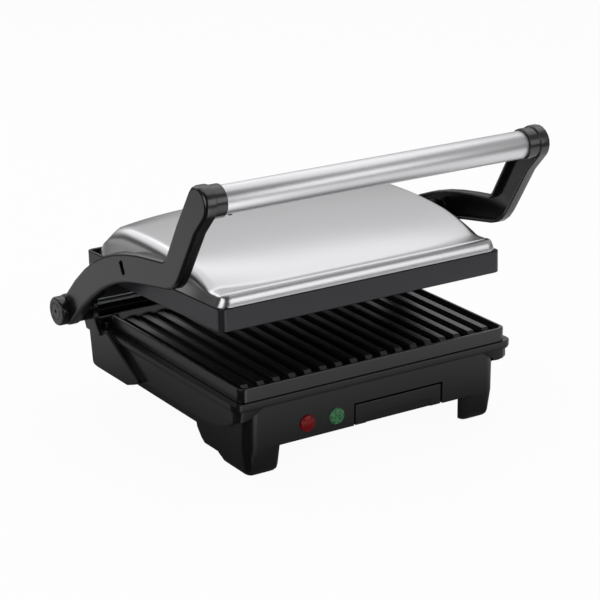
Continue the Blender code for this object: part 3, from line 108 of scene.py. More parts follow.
def finish_of(name, colour, roughness, metallic=0.0, **sockets):
    """A Principled material, its shader with the constants set, and Object coordinates."""
    material = bpy.data.materials.new(name)
    material.use_nodes = True
    shader = material.node_tree.nodes["Principled BSDF"]
    join(shader, {"Base Color": linear(colour), "Roughness": roughness, "Metallic": metallic})
    join(shader, {socket.replace("_", " "): value for socket, value in sockets.items()})
    return material, shader, add(material, "TexCoord").outputs["Object"]


def dress(material, *names):
    """Puts the material on CAD nodes."""
    for name in names:
        slots = nodes[name].data.materials
        slots.clear()
        slots.append(material)
    print(material.name, "on", len(names), "nodes")


# %% [markdown]
# ## Black moulded ABS
#
# The housing, the arms and the skirt of the lid are injection moulded ABS with a fine spark
# texture: black, evenly satin, with a soft sheen along the rounded edges. The grain of the mould
# is about 0.2 mm, so it is a noise of that size in a very shallow bump, and a wider noise, in
# patches of some centimetres, moves the roughness a little, as handling does. A Bevel node bends
# the normals beside every edge that is left sharp, so that light runs round it as round the small
# radius of a mould. The skirt is a lighter, duller black than the rest, the arms are glossier, and
# their inner covers come from a polished mould. The covers are also a little darker than the rest:
# that is painted shade of the channel they lie in. The bottom cover is coarse, matt polypropylene.

# %% Black moulded ABS
GRAINS_IN_CELL = 4
HANDLING_SCALE = 28.0


def moulded(name, colour, roughness, grain_mm=0.22, depth_mm=0.012, spread=0.06, specular=0.5,
            soft_mm=0.0):
    """A moulded plastic: its grain, how its roughness varies, and how soft its edges look."""
    material, shader, place = finish_of(name, colour, roughness, Specular_IOR_Level=specular)
    grain = add(material, "TexNoise", {"Vector": place}, Scale=1000 / grain_mm / GRAINS_IN_CELL,
                Detail=2.0)
    relief = {"Height": grain}
    if soft_mm:
        relief["Normal"] = add(material, "Bevel", samples=8, Radius=soft_mm / 1000)
    bump = add(material, "Bump", relief, Strength=0.35, Distance=depth_mm / 1000)
    wear = add(material, "TexNoise", {"Vector": place}, Scale=HANDLING_SCALE, Detail=3.0)
    rough = add(material, "MapRange", {"Value": wear},
                To_Min=roughness - spread, To_Max=roughness + spread)
    join(shader, {"Roughness": rough, "Normal": bump})
    return material


abs_black = moulded("moulded_black_abs", "111114", 0.24, spread=0.03, soft_mm=0.8)
abs_skirt = moulded("moulded_black_abs_skirt", "212026", 0.30, spread=0.04, soft_mm=0.8)
abs_arm = moulded("moulded_black_abs_arm", "101012", 0.21, spread=0.03, specular=0.9, soft_mm=1.0)
# The inner covers' colour is darker than the other blacks: painted shade of the channel in each
# arm.
abs_inner_painted_shade = moulded("glossy_black_abs_painted_shade", "0b0b0c", 0.17, spread=0.03)
abs_under = moulded("matt_dark_polypropylene", "2c2c2e", 0.55, grain_mm=0.4, depth_mm=0.02)
print("plastics:", [m.name for m in (abs_black, abs_skirt, abs_arm, abs_inner_painted_shade, abs_under)])

# %% [markdown]
# ## Non-stick coating on cast aluminium
#
# A cooking plate is die-cast aluminium, sprayed with a dark PTFE coat. The coat is smooth and
# slightly wavy, about 25 micrometres thick, with specks of half a millimetre. It mirrors the room
# softly, which shows as pale streaks on the crests of the ribs.

# %% Non-stick coating
SPECK_SCALE = 1900.0
WAVE_SCALE = 420.0
coated, shader, place = finish_of("non_stick_coated_cast_aluminium", "0b0b0c", 0.26,
                                  Specular_IOR_Level=0.5, Coat_Weight=0.25, Coat_Roughness=0.2)
specks = add(coated, "TexNoise", {"Vector": place}, Scale=SPECK_SCALE, Detail=1.0)
speckled = add(coated, "ValToRGB", {"Fac": specks},
               stops=((0.55, linear("0a0a0b")), (0.75, linear("1c1c1f"))))
waves = add(coated, "TexNoise", {"Vector": place}, Scale=WAVE_SCALE, Detail=3.0)
bump = add(coated, "Bump", {"Height": waves}, Strength=0.4, Distance=0.00008)
join(shader, {"Base Color": speckled, "Normal": bump})
print("specks about", round(1000 / SPECK_SCALE, 1), "mm, waves", round(1000 / WAVE_SCALE, 1), "mm")

# %% [markdown]
# ## Satin steel and aluminium
#
# The lid's cover is pressed from stainless sheet and polished to a fine satin. The belt leaves
# scratches that run along the lid, far finer than a picture of the whole can show, so the noise
# is stretched along X and drawn about 0.4 mm wide. It moves only the roughness and a little
# height. The handle is drawn aluminium tube, anodised, so it is paler and duller and has no
# bright streak. Shaft and screws are zinc plated or blackened, with faint lines from the turning.

# %% Satin metals
ALONG_X = (0.02, 1.0, 1.0)
ALONG_Z = (1.0, 1.0, 0.3)


def brushed(name, colour, roughness, stretch, scale=900.0, spread=0.05, depth=0.00001):
    """A metal with scratches drawn out along one axis; stretch scales the three axes."""
    material, shader, place = finish_of(name, colour, roughness, 1.0)
    drawn = add(material, "Mapping", {"Vector": place}, Scale=stretch)
    lines = add(material, "TexNoise", {"Vector": drawn}, Scale=scale, Detail=2.0)
    rough = add(material, "MapRange", {"Value": lines},
                To_Min=roughness - spread, To_Max=roughness + spread)
    bump = add(material, "Bump", {"Height": lines}, Strength=0.3, Distance=depth)
    join(shader, {"Roughness": rough, "Normal": bump})
    return material


satin_steel = brushed("satin_stainless_sheet", "d0d0d2", 0.29, ALONG_X,
                      spread=0.012, depth=0.000002)
tube_metal = brushed("satin_anodised_aluminium", "e0e0e2", 0.38, ALONG_X, scale=1100.0,
                     spread=0.02, depth=0.000002)
turned_steel = brushed("zinc_plated_steel", "a9abae", 0.30, ALONG_Z)
blackened = brushed("black_oxide_steel", "1c1c1e", 0.40, ALONG_Z)
print("metals:", [m.name for m in (satin_steel, tube_metal, turned_steel, blackened)])

# %% [markdown]
# ## The heating parts
#
# Heaters are steel tubes that turn blue-brown with heat, in clouds of about 2 cm. The reflectors
# behind them are bright aluminised sheet, whose crystals of some 5 mm differ a little in gloss.
# Thermostats, fuse and terminal block have bodies of cream, unglazed steatite.

# %% Heating parts
sheath, shader, place = finish_of("heat_tinted_steel_sheath", "5a4f48", 0.42, 1.0)
tint = add(sheath, "TexNoise", {"Vector": place}, Scale=45.0, Detail=3.0)
tinted = add(sheath, "ValToRGB", {"Fac": tint},
             stops=((0.0, linear("4a4650")), (1.0, linear("7a6248"))))
join(shader, {"Base Color": tinted})
sheet, shader, place = finish_of("aluminised_steel_sheet", "b6b8b8", 0.38, 1.0)
crystals = add(sheet, "TexVoronoi", {"Vector": place}, Scale=220.0)
cloudy = add(sheet, "MapRange", {"Value": crystals}, To_Min=0.30, To_Max=0.48)
join(shader, {"Roughness": cloudy})
ceramic = moulded("steatite_ceramic", "d9d2c2", 0.55, grain_mm=0.5, depth_mm=0.02)
dress(sheath, "lower_heater", "upper_heater")
dress(sheet, "lower_reflector", "upper_reflector")
dress(ceramic, "lower_thermostat", "upper_thermostat", "thermal_fuse", "terminal_block")

# %% [markdown]
# ## Rubber, lenses and lamp glass
#
# The foot pads and the gland are soft black rubber, dull and dusty. The lamp lenses are clear
# polycarbonate, dyed red and green. Small facets are moulded into their backs, and each facet
# sends the light of the lamp behind it out as a speck, so the glow is a cell pattern of about
# 1.6 mm and not an even colour. The lamps themselves are small neon bulbs of lightly frosted
# glass.

# %% Rubber and lamps
FACET_SCALE = 620.0
rubber = moulded("black_rubber", "1d1d1d", 0.80, grain_mm=0.5, depth_mm=0.03, spread=0.08)


def lens(name, body, dark, light):
    """Dyed clear plastic, whose moulded facets send the lamp's light out in specks."""
    material, shader, place = finish_of(name, body, 0.22, IOR=1.58, Emission_Strength=0.22,
                                        Specular_IOR_Level=0.2)
    facets = add(material, "TexVoronoi", {"Vector": place}, Scale=FACET_SCALE)
    glow = add(material, "ValToRGB", {"Fac": facets},
               stops=((0.15, linear(light)), (0.75, linear(dark))))
    bump = add(material, "Bump", {"Height": facets}, Strength=0.3, Distance=0.0002)
    join(shader, {"Emission Color": glow, "Normal": bump})
    return material


red_lens = lens("red_polycarbonate", "4c0003", "5a0004", "b8000a")
green_lens = lens("green_polycarbonate", "184425", "143c22", "86d096")
lamp_glass, shader, place = finish_of("neon_lamp_glass", "e8b890", 0.08, Transmission_Weight=0.8)
frost = add(lamp_glass, "TexNoise", {"Vector": place}, Scale=500.0)
frosted = add(lamp_glass, "MapRange", {"Value": frost}, To_Min=0.05, To_Max=0.15)
join(shader, {"Roughness": frosted})
dress(lamp_glass, "red_lamp_bulb", "green_lamp_bulb")

# %% [markdown]
# ## Finished copies of the solids
#
# Nearly every piece of this press is moulded or cast, so it has no sharp edge: the tool's corners
# leave a small round on each. The solids carry the main shapes. A copy of each is merged, its
# flat faces are joined again, and a bevel of a few tenths of a millimetre rounds what is left
# sharp. Weighted normals then keep the flat faces flat beside it. The copy stands for the solid.
# This keeps every size and adds the thin highlights by which the eye reads a moulding.

# %% Helpers for pieces
def only(piece):
    """Selects one object alone and makes it the active one."""
    bpy.ops.object.select_all(action="DESELECT")
    piece.select_set(True)
    bpy.context.view_layer.objects.active = piece


def apply_all(piece):
    """Applies every modifier of the piece."""
    only(piece)
    for modifier in list(piece.modifiers):
        bpy.ops.object.modifier_apply(modifier=modifier.name)


def settle(piece, body, slot, material, *stands_for):
    """Gives a piece its body and material and hides the nodes it stands for; slot is not used."""
    piece.data.materials.clear()
    piece.data.materials.append(material)
    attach(piece, body)
    if stands_for:
        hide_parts(*stands_for)


# %% [markdown]
# A solid's mesh is loose triangles, so its copy is merged first, and once more after its points
# have moved. Faces that meet within 32 degrees are shaded as one smooth surface, and edges over
# 38 degrees take the bevel.

# %% Helper for finished copies
MERGE = 0.000004
FLAT_WITHIN = math.radians(0.6)
SMOOTH_WITHIN = math.radians(32)
SHARP_FROM = math.radians(38)


def finished(name, body, slot, material, edge_mm, reshape=None, merge=MERGE):
    """A merged copy of a node, its points moved by reshape, its edges rounded by edge_mm."""
    piece = bpy.data.objects.new(name + "_finished", nodes[name].data.copy())
    bpy.context.scene.collection.objects.link(piece)
    only(piece)
    bpy.ops.object.mode_set(mode="EDIT")
    bpy.ops.mesh.select_all(action="SELECT")
    bpy.ops.mesh.customdata_custom_splitnormals_clear()
    bpy.ops.mesh.remove_doubles(threshold=MERGE)
    bpy.ops.object.mode_set(mode="OBJECT")
    if reshape:
        for point in piece.data.vertices:
            reshape(point.co)
    bpy.ops.object.mode_set(mode="EDIT")
    bpy.ops.mesh.select_all(action="SELECT")
    bpy.ops.mesh.remove_doubles(threshold=merge)
    bpy.ops.mesh.dissolve_limited(angle_limit=FLAT_WITHIN)
    bpy.ops.object.mode_set(mode="OBJECT")
    if edge_mm:
        rounding = piece.modifiers.new("edges", "BEVEL")
        rounding.width = edge_mm / 1000
        rounding.segments = 2
        rounding.angle_limit = SHARP_FROM
        rounding.use_clamp_overlap = False
        rounding.miter_outer = "MITER_ARC"
        apply_all(piece)
    only(piece)
    bpy.ops.object.shade_smooth_by_angle(angle=SMOOTH_WITHIN)
    weighted = piece.modifiers.new("normals", "WEIGHTED_NORMAL")
    weighted.keep_sharp = True
    apply_all(piece)
    settle(piece, body, slot, material, name)
    return piece


# %% [markdown]
# A few copies also get a small change of shape, for which it is enough to move points. The head
# of each arm is flat outside, where the solid has a low dome, and the mark on it is a leaf that
# leans to the front, not a slit: the slit's points are spread, most at its middle, and its floor
# is set deeper.

# %% Heads and leaves of the arms
PIVOT = Vector(joints["lid_float"]["pos_m"])
HEAD_DOME = 0.0028
HEAD_SPAN = 0.0150
ARM_FACE = max(abs(point.co.x) for point in nodes["left_arm"].data.vertices) - HEAD_DOME
LEAF_MIDDLE = (PIVOT.y - 0.0065, PIVOT.z + 0.0040)
LEAF_HALF = 0.0072
LEAF_SPAN = 0.0032
LEAF_LEAN = math.radians(-27)
LEAF_WIDER = 2.8
LEAF_TAPER = 0.85
LEAF_REACH = 0.0020
LEAF_RIM = 0.0005
LEAF_DEEPER = 0.0035
tube_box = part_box("handle_tube")
tube_middle = ((tube_box[0][1] + tube_box[1][1]) / 2, (tube_box[0][2] + tube_box[1][2]) / 2)


def reshape_arm(co):
    """Flattens the head's outer side and widens the slit of the pivot into a leaf."""
    if abs(co.x) > ARM_FACE and math.dist((co.y, co.z), tube_middle) < HEAD_SPAN:
        co.x = math.copysign(ARM_FACE, co.x)
    dy, dz = co.y - LEAF_MIDDLE[0], co.z - LEAF_MIDDLE[1]
    lean_cos, lean_sin = math.cos(LEAF_LEAN), math.sin(LEAF_LEAN)
    along = -dy * lean_sin + dz * lean_cos
    across = dy * lean_cos + dz * lean_sin
    if abs(co.x) > ARM_FACE - LEAF_REACH and abs(along) < LEAF_HALF and abs(across) < LEAF_SPAN:
        across *= LEAF_WIDER * (1 - LEAF_TAPER * (along / LEAF_HALF) ** 2)
        co.y = LEAF_MIDDLE[0] + across * lean_cos - along * lean_sin
        co.z = LEAF_MIDDLE[1] + across * lean_sin + along * lean_cos
        if abs(co.x) < ARM_FACE - LEAF_RIM:
            co.x -= math.copysign(LEAF_DEEPER, co.x)


print("arm face at", round(ARM_FACE * 1000, 1), "mm from the middle")

# %% [markdown]
# The tray's front is a little smaller than its opening, so that a dark line runs round it. The
# inner cover of each arm lies deeper, so that the arm shows a channel. Over each front leg the
# housing runs on without a ledge: both rims of the solid's ledge are brought to one height, and
# merging them closes it.

# %% Tray, inner covers and legs
tray_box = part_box("drip_tray")
tray_middle = (tray_box[0][0] + tray_box[1][0]) / 2
tray_reach = (tray_box[1][0] - tray_box[0][0]) / 2
TRAY_GAP_MORE = 0.0010
INNER_COVER_DEEPER = 0.0045
LEDGE = 0.02715
LEDGE_NEAR = 0.0006
LEDGE_MERGE = 0.00022
LEG_INNER = 0.095
LEG_REAR = -0.02


def reshape_tray(co):
    """Takes a little off the sides and the top of the tray's front."""
    co.x = tray_middle + (co.x - tray_middle) * (1 - TRAY_GAP_MORE / tray_reach)
    if co.z > tray_box[1][2] - TRAY_GAP_MORE:
        co.z -= TRAY_GAP_MORE


def reshape_inner_cover(co):
    """Sets the inner cover deeper into its arm."""
    co.x += math.copysign(INNER_COVER_DEEPER, co.x)


def reshape_housing(co):
    """Brings both rims of the tiny ledge over a front leg to one height."""
    if abs(co.z - LEDGE) < LEDGE_NEAR and abs(co.x) > LEG_INNER and co.y < LEG_REAR:
        co.z = LEDGE


RESHAPE = {"left_arm": reshape_arm, "right_arm": reshape_arm, "drip_tray": reshape_tray,
           "left_arm_cover": reshape_inner_cover, "right_arm_cover": reshape_inner_cover,
           "base_housing": reshape_housing}
MERGED_FURTHER = {"base_housing": LEDGE_MERGE}
print("copies whose points are moved:", len(RESHAPE))

# %% [markdown]
# The last column is how far each edge is rounded, in millimetres. It is 0 where the solid's edges
# are round already, as on the arms, or too fine to take a bevel. Screws, pads, pivots and shaft
# are plain turned or moulded pieces that need no copy, so they only get their finish.

# %% Finished copies
COPIES = (("base_housing", "base", "black_plastic", abs_black, 0.35),
          ("drip_tray", "tray", "black_plastic", abs_black, 0.4),
          ("bottom_cover", "base", "dark_plastic", abs_under, 0.0),
          ("hinge_bar", "arms", "black_plastic", abs_black, 0.4),
          ("lid_skirt", "lid", "black_plastic", abs_skirt, 0.5),
          ("left_arm", "arms", "black_plastic", abs_arm, 0.0),
          ("right_arm", "arms", "black_plastic", abs_arm, 0.0),
          ("left_arm_cover", "arms", "dark_plastic", abs_inner_painted_shade, 0.0),
          ("right_arm_cover", "arms", "dark_plastic", abs_inner_painted_shade, 0.0),
          ("hinge_cap_left", "arms", "black_plastic", abs_arm, 0.25),
          ("hinge_cap_right", "arms", "black_plastic", abs_arm, 0.25),
          ("lower_plate", "base", "non_stick", coated, 0.4),
          ("upper_plate", "lid", "non_stick", coated, 0.4),
          ("red_lamp_lens", "base", "red_lens", red_lens, 0.0),
          ("green_lamp_lens", "base", "green_lens", green_lens, 0.0),
          ("cord_gland", "base", "rubber", rubber, 0.3))
for name, body, slot, material, edge_mm in COPIES:
    piece = finished(name, body, slot, material, edge_mm, RESHAPE.get(name),
                     MERGED_FURTHER.get(name, MERGE))
    print(piece.name, len(piece.data.polygons), "faces")
dress(rubber, "foot_pad_front_left", "foot_pad_front_right",
      "foot_pad_rear_left", "foot_pad_rear_right")
dress(turned_steel, "hinge_shaft", "bottom_screw_front_left", "bottom_screw_front_right",
      "bottom_screw_rear_left", "bottom_screw_rear_right")
dress(blackened, "handle_screw_left", "handle_screw_right", "lid_pivot_left", "lid_pivot_right")

# %% [markdown]
# ## The pressed cover of the lid
#
# The cover is one sheet of stainless steel, drawn in a press: a low rounded band along the front,
# a soft crease behind it, and then one long crowned rise that falls away in a slant at the rear
# corners. Steel mirrors every bump, so a coarse mesh would show as stripes. A few operators don't
# give such a crown, so a fine grid is added and each of its points is put on the drawing of the
# press tool: how far in from the rim it lies gives the wall, and two curves give the crown.
# Solidify then makes it a sheet.
#
# The drawing's measures come first, in metres; shares, powers and the rise's places have no unit.

# %% Drawing of the press tool
COVER_HALF = 0.15075
COVER_FRONT = 0.0010
COVER_DEPTH = 0.2428
COVER_BASE = 0.0213
COVER_HIGH = 0.0375
COVER_PLAN_ROUND = 0.0115
REAR_PLAN_ROUND = 0.0360
COVER_SIDE_ROUND = 0.0130
COVER_FRONT_ROUND = 0.0095
COVER_REAR_ROUND = 0.0440
COVER_BOW = 0.0300
COVER_BOW_REACH = 0.30
CORNER_LIFT = 0.0020
REAR_DROP = 0.50
REAR_DROP_FROM = 0.70
CROWN_SHARE = 0.10
FRONT_POWER = 2.15
REAR_POWER = 1.5
CREASE_WIDTH = 0.0009
BAND_HIGH = 0.0122
BAND_DROP = 0.0013
BAND_CREST = 0.0045
BAND_FALL = 0.0065
LEAN_SHARE = 0.25
STRAIGHT_SHARE = 0.62
SHEET = 0.0008
RISE_CURVE = ((0.08, 0.400), (0.14, 0.540), (0.235, 0.710), (0.355, 0.860), (0.48, 0.950),
              (0.60, 0.990), (0.70, 1.000), (0.79, 0.975), (0.87, 0.900), (0.93, 0.815),
              (0.968, 0.720), (1.00, 0.600))
plan = [round(side * 1000, 1) for side in (2 * COVER_HALF, COVER_DEPTH)]
print("cover's plan:", plan, "mm, sheet:", SHEET * 1000, "mm")

# %% [markdown]
# The rise from front to rear is a smooth polynomial through a dozen heights, because a curve of
# straight pieces would show each joint in the steel. The band and the rise then meet in a smooth
# maximum: where they are equally high, it leaves the soft crease.

# %% Crown of the cover
def power_fit(points, degree):
    """The coefficients of the polynomial that passes nearest to the points (normal equations)."""
    size = degree + 1
    rows = [[sum(x ** (i + j) for x, _ in points) for j in range(size)]
            + [sum(y * x ** i for x, y in points)] for i in range(size)]
    for i in range(size):
        best = max(range(i, size), key=lambda r: abs(rows[r][i]))
        rows[i], rows[best] = rows[best], rows[i]
        rows[i] = [v / rows[i][i] for v in rows[i]]
        for other in range(size):
            if other != i:
                rows[other] = [a - rows[other][i] * b for a, b in zip(rows[other], rows[i])]
    return [row[size] for row in rows]


RISE_DEGREE = 6
rise = power_fit(RISE_CURVE, RISE_DEGREE)


def ease(value):
    """Smooth step from 0 to 1."""
    held = max(0.0, min(1.0, value))
    return held * held * (3 - 2 * held)


def crown(across, along):
    """Height of the top over the rim: across from -1 to 1, along from 0 at the front to 1."""
    at_front = max(0.0, 1 - along / COVER_BOW_REACH)
    bowed = along - COVER_BOW / COVER_DEPTH * across ** 4 * at_front
    height = sum(c * bowed ** i for i, c in enumerate(rise))
    main = COVER_HIGH * height * (1 - CROWN_SHARE * across ** 2)
    at_rear = ease((along - REAR_DROP_FROM) / (1 - REAR_DROP_FROM))
    main *= 1 - REAR_DROP * across ** 4 * at_rear
    main += CORNER_LIFT * at_front * across ** 2
    band = BAND_HIGH - BAND_DROP * ease((along * COVER_DEPTH - BAND_CREST) / BAND_FALL)
    return (main + band + math.sqrt((main - band) ** 2 + CREASE_WIDTH ** 2)) / 2


heights = [round(crown(0, along) * 1000, 1) for along in (0, 0.1, 0.5, 1)]
print("crown at the front, a tenth in, the middle and the rear:", heights, "mm")

# %% [markdown]
# The wall round the crown differs by side. At the front it is a tight quarter round, at the rear
# a wide and flatter one, and at the sides it leans inwards, is straight at first and rounds over
# at the shoulder. Sixteen rings of points follow it, and even cells fill the space between.

# %% Walls of the cover
WALL_RINGS = 16
CELLS_ACROSS = 104
CELLS_ALONG = 100


def end_wall(power):
    """A quarter of a superellipse, as shares of its depth and height."""
    angles = [math.pi / 2 * k / WALL_RINGS for k in range(WALL_RINGS + 1)]
    return [(1 - math.cos(a) ** (2 / power), math.sin(a) ** (2 / power)) for a in angles]


def side_wall():
    """A straight leaning wall and then a round shoulder, as shares of its width and height."""
    straight = WALL_RINGS // 3
    wall = [(LEAN_SHARE * k / straight, STRAIGHT_SHARE * k / straight) for k in range(straight)]
    for k in range(straight, WALL_RINGS + 1):
        angle = math.pi / 2 * (k - straight) / (WALL_RINGS - straight)
        wall.append((LEAN_SHARE + (1 - LEAN_SHARE) * (1 - math.cos(angle)),
                     STRAIGHT_SHARE + (1 - STRAIGHT_SHARE) * math.sin(angle)))
    return wall


def steps(cells, first, first_wall, last, last_wall):
    """Places along one axis: rings of the wall at both ends, even cells between."""
    inner = cells - 2 * WALL_RINGS
    return ([first * w for w, _ in first_wall[:WALL_RINGS]]
            + [first + (1 - first - last) * i / inner for i in range(inner + 1)]
            + [1 - last * w for w, _ in reversed(last_wall[:WALL_RINGS])])


FRONT_WALL = end_wall(FRONT_POWER)
REAR_WALL = end_wall(REAR_POWER)
SIDE_WALL = side_wall()
SIDE_SHARE = COVER_SIDE_ROUND / 2 / COVER_HALF
COLUMNS = steps(CELLS_ACROSS, SIDE_SHARE, SIDE_WALL, SIDE_SHARE, SIDE_WALL)
ROWS = steps(CELLS_ALONG, COVER_FRONT_ROUND / COVER_DEPTH, FRONT_WALL,
             COVER_REAR_ROUND / COVER_DEPTH, REAR_WALL)
print("places across:", len(COLUMNS), "and along:", len(ROWS))

# %% [markdown]
# Where two walls meet, each ring turns round its corner, and the wall's height passes from the
# side's to the end's with the angle. The lid hangs tilted by a few degrees, so the drawing is
# turned about the lid's pivot and set in its place.

# %% Pressing the cover
PIVOT_IN_LID = Vector((0, 0.1232, 0.0342))
LID_TILT = math.radians(2.73)
COVER_SMOOTH = math.radians(40)


def on_drawing(i, j):
    """Where the grid's point (i, j) lies on the drawing, in the lid's own coordinates."""
    from_side, from_end = min(i, CELLS_ACROSS - i), min(j, CELLS_ALONG - j)
    ring = min(from_side, from_end, WALL_RINGS)
    x = (COLUMNS[i] * 2 - 1) * COVER_HALF
    y = ROWS[j] * COVER_DEPTH
    at_front = ROWS[j] < 0.5
    end_share = 0.0 if from_side <= from_end else 1.0
    height = crown(x / COVER_HALF, ROWS[j])
    if ring < WALL_RINGS:
        near, far = ROWS[ring] * COVER_DEPTH, ROWS[CELLS_ALONG - ring] * COVER_DEPTH
        radius = (COVER_PLAN_ROUND if at_front else REAR_PLAN_ROUND) * (1 - SIDE_WALL[ring][0])
        right = COVER_HALF - COLUMNS[ring] * 2 * COVER_HALF - radius
        low, high = near + radius - y, y - (far - radius)
        dx, dy = abs(x) - right, max(low, high)
        if dx > 0 and dy > 0:
            share = min(dx, dy) / max(dx, dy)
            angle = math.pi / 4 * share if dx > dy else math.pi / 2 - math.pi / 4 * share
            end_share = angle / (math.pi / 2)
            reach = radius * math.sin(angle)
            x = math.copysign(right + radius * math.cos(angle), x)
            y = near + radius - reach if low > 0 else far - radius + reach
    end = (FRONT_WALL if at_front else REAR_WALL)[ring][1]
    height *= end * end_share + SIDE_WALL[ring][1] * (1 - end_share)
    return Vector((x, COVER_FRONT + y, COVER_BASE + height))


bpy.ops.object.select_all(action="DESELECT")
bpy.ops.mesh.primitive_grid_add(x_subdivisions=CELLS_ACROSS, y_subdivisions=CELLS_ALONG, size=1)
cover = bpy.context.object
cover.name = "pressed_lid_cover"
tilt = Matrix.Rotation(-LID_TILT, 4, "X")
for point in cover.data.vertices:
    i = round((point.co.x + 0.5) * CELLS_ACROSS)
    j = round((point.co.y + 0.5) * CELLS_ALONG)
    point.co = PIVOT + tilt @ (on_drawing(i, j) - PIVOT_IN_LID)
sheet_wall = cover.modifiers.new("sheet", "SOLIDIFY")
sheet_wall.thickness = SHEET
sheet_wall.offset = -1
apply_all(cover)
only(cover)
bpy.ops.object.shade_smooth_by_angle(angle=COVER_SMOOTH)
settle(cover, "lid", "stainless", satin_steel, "lid_cover")
print("cover:", len(cover.data.polygons), "faces")

# %% [markdown]
# ## The handle tube
#
# The grip is a drawn aluminium tube, 25.6 mm across, with a wall of about 1.5 mm. Drawn tube is
# truly round, so it gets 128 sides, and each end is chamfered where the saw left a burr.

# %% Handle tube
TUBE_WALL = 0.0015
TUBE_CHAMFER = 0.0003
tube_low, tube_high = tube_box
tube_radius = (tube_high[2] - tube_low[2]) / 2
bpy.ops.object.select_all(action="DESELECT")
bpy.ops.mesh.primitive_cylinder_add(vertices=128, radius=tube_radius,
                                    depth=tube_high[0] - tube_low[0], end_fill_type="NOTHING",
                                    location=(0, *tube_middle), rotation=(0, math.pi / 2, 0))
tube = bpy.context.object
tube.name = "drawn_handle_tube"
bpy.ops.object.transform_apply(location=True, rotation=True, scale=True)
wall = tube.modifiers.new("wall", "SOLIDIFY")
wall.thickness = TUBE_WALL
wall.offset = -1
chamfer = tube.modifiers.new("chamfer", "BEVEL")
chamfer.width = TUBE_CHAMFER
chamfer.segments = 2
chamfer.angle_limit = math.radians(60)
apply_all(tube)
only(tube)
bpy.ops.object.shade_smooth_by_angle(angle=math.radians(30))
settle(tube, "arms", "aluminium", tube_metal, "handle_tube")
print("tube radius", round(tube_radius * 1000, 2), "mm, faces", len(tube.data.polygons))

# %% [markdown]
# ## The camera
#
# The photograph was taken with a long lens, from the front and left, looking down by about 19
# degrees. These values were fitted so that the corners of the plates and the ends of the tube
# land where the photograph shows them.

# %% Camera
camera = bpy.data.objects.new("camera", bpy.data.cameras.new("camera"))
bpy.context.scene.collection.objects.link(camera)
camera.data.sensor_width = 36.0
camera.data.lens = 128.5
camera.data.clip_end = 20.0
camera.location = (-1.0399, -1.5840, 0.7723)
looking = Vector((0.5182, 0.7881, -0.3323))
camera.rotation_euler = looking.to_track_quat("-Z", "Y").to_euler()
bpy.context.scene.camera = camera
downward = math.degrees(math.asin(-looking.z / looking.length))
print("camera looks down by", round(downward, 1), "degrees")

# %% [markdown]
# ## Floor and light
#
# A packshot has a white ground that runs up behind the object. The floor is a wide disc that is
# nearly white for the camera, and still takes the soft shadow of the feet. What gloss and metal
# mirror of it is another matter: a photographer sets black flags and white cards round a shiny
# object, so that its curves show. Here they are levels of the floor that only mirrored rays see.
# One ramp goes round the front left corner of the base, with the angle in degrees, and gives the
# flags and cards. The other goes outwards from the base's footprint, and darkens the floor close
# to the object, which shades it there.

# %% Levels of the floor
FLOOR_SEEN = 0.95
FLAG_CORNER = (-0.137, -0.125)
FLAG_RAMP = ((-180, 0.50), (-150, 0.40), (-90, 0.28), (-45, 0.30), (-36, 0.02), (78, 0.02),
             (85, 1.00), (104, 0.95), (113, 0.50), (180, 0.50))
FOOTPRINT = (0.137, 0.125)
NEAR_RAMP = ((0.00, 0.10), (0.05, 0.22), (0.10, 0.50), (0.20, 0.85), (0.40, 0.90), (0.80, 0.75),
             (1.00, 0.20))
NEAR_REACH = 1.2
MIRRORED = 2.0


def greys(ramp):
    """A ramp's stops from places and grey levels."""
    return [(place, (level, level, level, 1)) for place, level in ramp]


most = MIRRORED * max(level for _, level in FLAG_RAMP) * max(level for _, level in NEAR_RAMP)
print("floor for the camera:", FLOOR_SEEN, "and mirrored, at most:", round(most, 2))

# %% [markdown]
# In the floor's material, the place gives an angle and a distance, the two ramps turn these into
# a level, and Light Path picks what each kind of ray meets. Diffuse light meets the plain white
# ground, so the flags and cards don't change how the object is lit.

# %% Floor
bpy.ops.object.select_all(action="DESELECT")
bpy.ops.mesh.primitive_circle_add(vertices=96, radius=6.0, fill_type="NGON", location=(0, 0, 0))
floor = bpy.context.object
floor.name = "floor"
ground, diffuse, place = finish_of("white_ground", "f4f4f4", 0.9)
spot = add(ground, "SeparateXYZ", {"Vector": place}).outputs
leftward = add(ground, "Math", {0: FLAG_CORNER[0], 1: spot["X"]}, operation="SUBTRACT")
forward = add(ground, "Math", {0: FLAG_CORNER[1], 1: spot["Y"]}, operation="SUBTRACT")
angle = add(ground, "Math", {0: forward, 1: leftward}, operation="ARCTAN2")
turned = add(ground, "Math", {0: angle, 1: 2 * math.pi}, operation="DIVIDE")
turned = add(ground, "Math", {0: turned, 1: 0.5}, operation="ADD")
flags = add(ground, "ValToRGB", {"Fac": turned},
            stops=greys((degrees / 360 + 0.5, level) for degrees, level in FLAG_RAMP))
squares = []
for axis, half in zip("XY", FOOTPRINT):
    away = add(ground, "Math", {0: spot[axis]}, operation="ABSOLUTE")
    away = add(ground, "Math", {0: away, 1: half}, operation="SUBTRACT")
    away = add(ground, "Math", {0: away, 1: 0.0}, operation="MAXIMUM")
    squares.append(add(ground, "Math", {0: away, 1: 2.0}, operation="POWER"))
away = add(ground, "Math", {0: squares[0], 1: squares[1]}, operation="ADD")
away = add(ground, "Math", {0: away}, operation="SQRT")
away = add(ground, "Math", {0: away, 1: NEAR_REACH}, operation="DIVIDE")
near = add(ground, "ValToRGB", {"Fac": away}, stops=greys(NEAR_RAMP))
strength = add(ground, "Math", {0: near, 1: MIRRORED}, operation="MULTIPLY")
mirrored = add(ground, "Emission", {"Color": flags, "Strength": strength})
white = add(ground, "Emission", Strength=1.0, Color=(1, 1, 1, 1))
rays = add(ground, "LightPath").outputs
seen = add(ground, "Math", {0: rays["Is Camera Ray"], 1: rays["Is Transmission Ray"]},
           operation="MAXIMUM")
seen = add(ground, "Math", {0: seen, 1: FLOOR_SEEN}, operation="MULTIPLY")
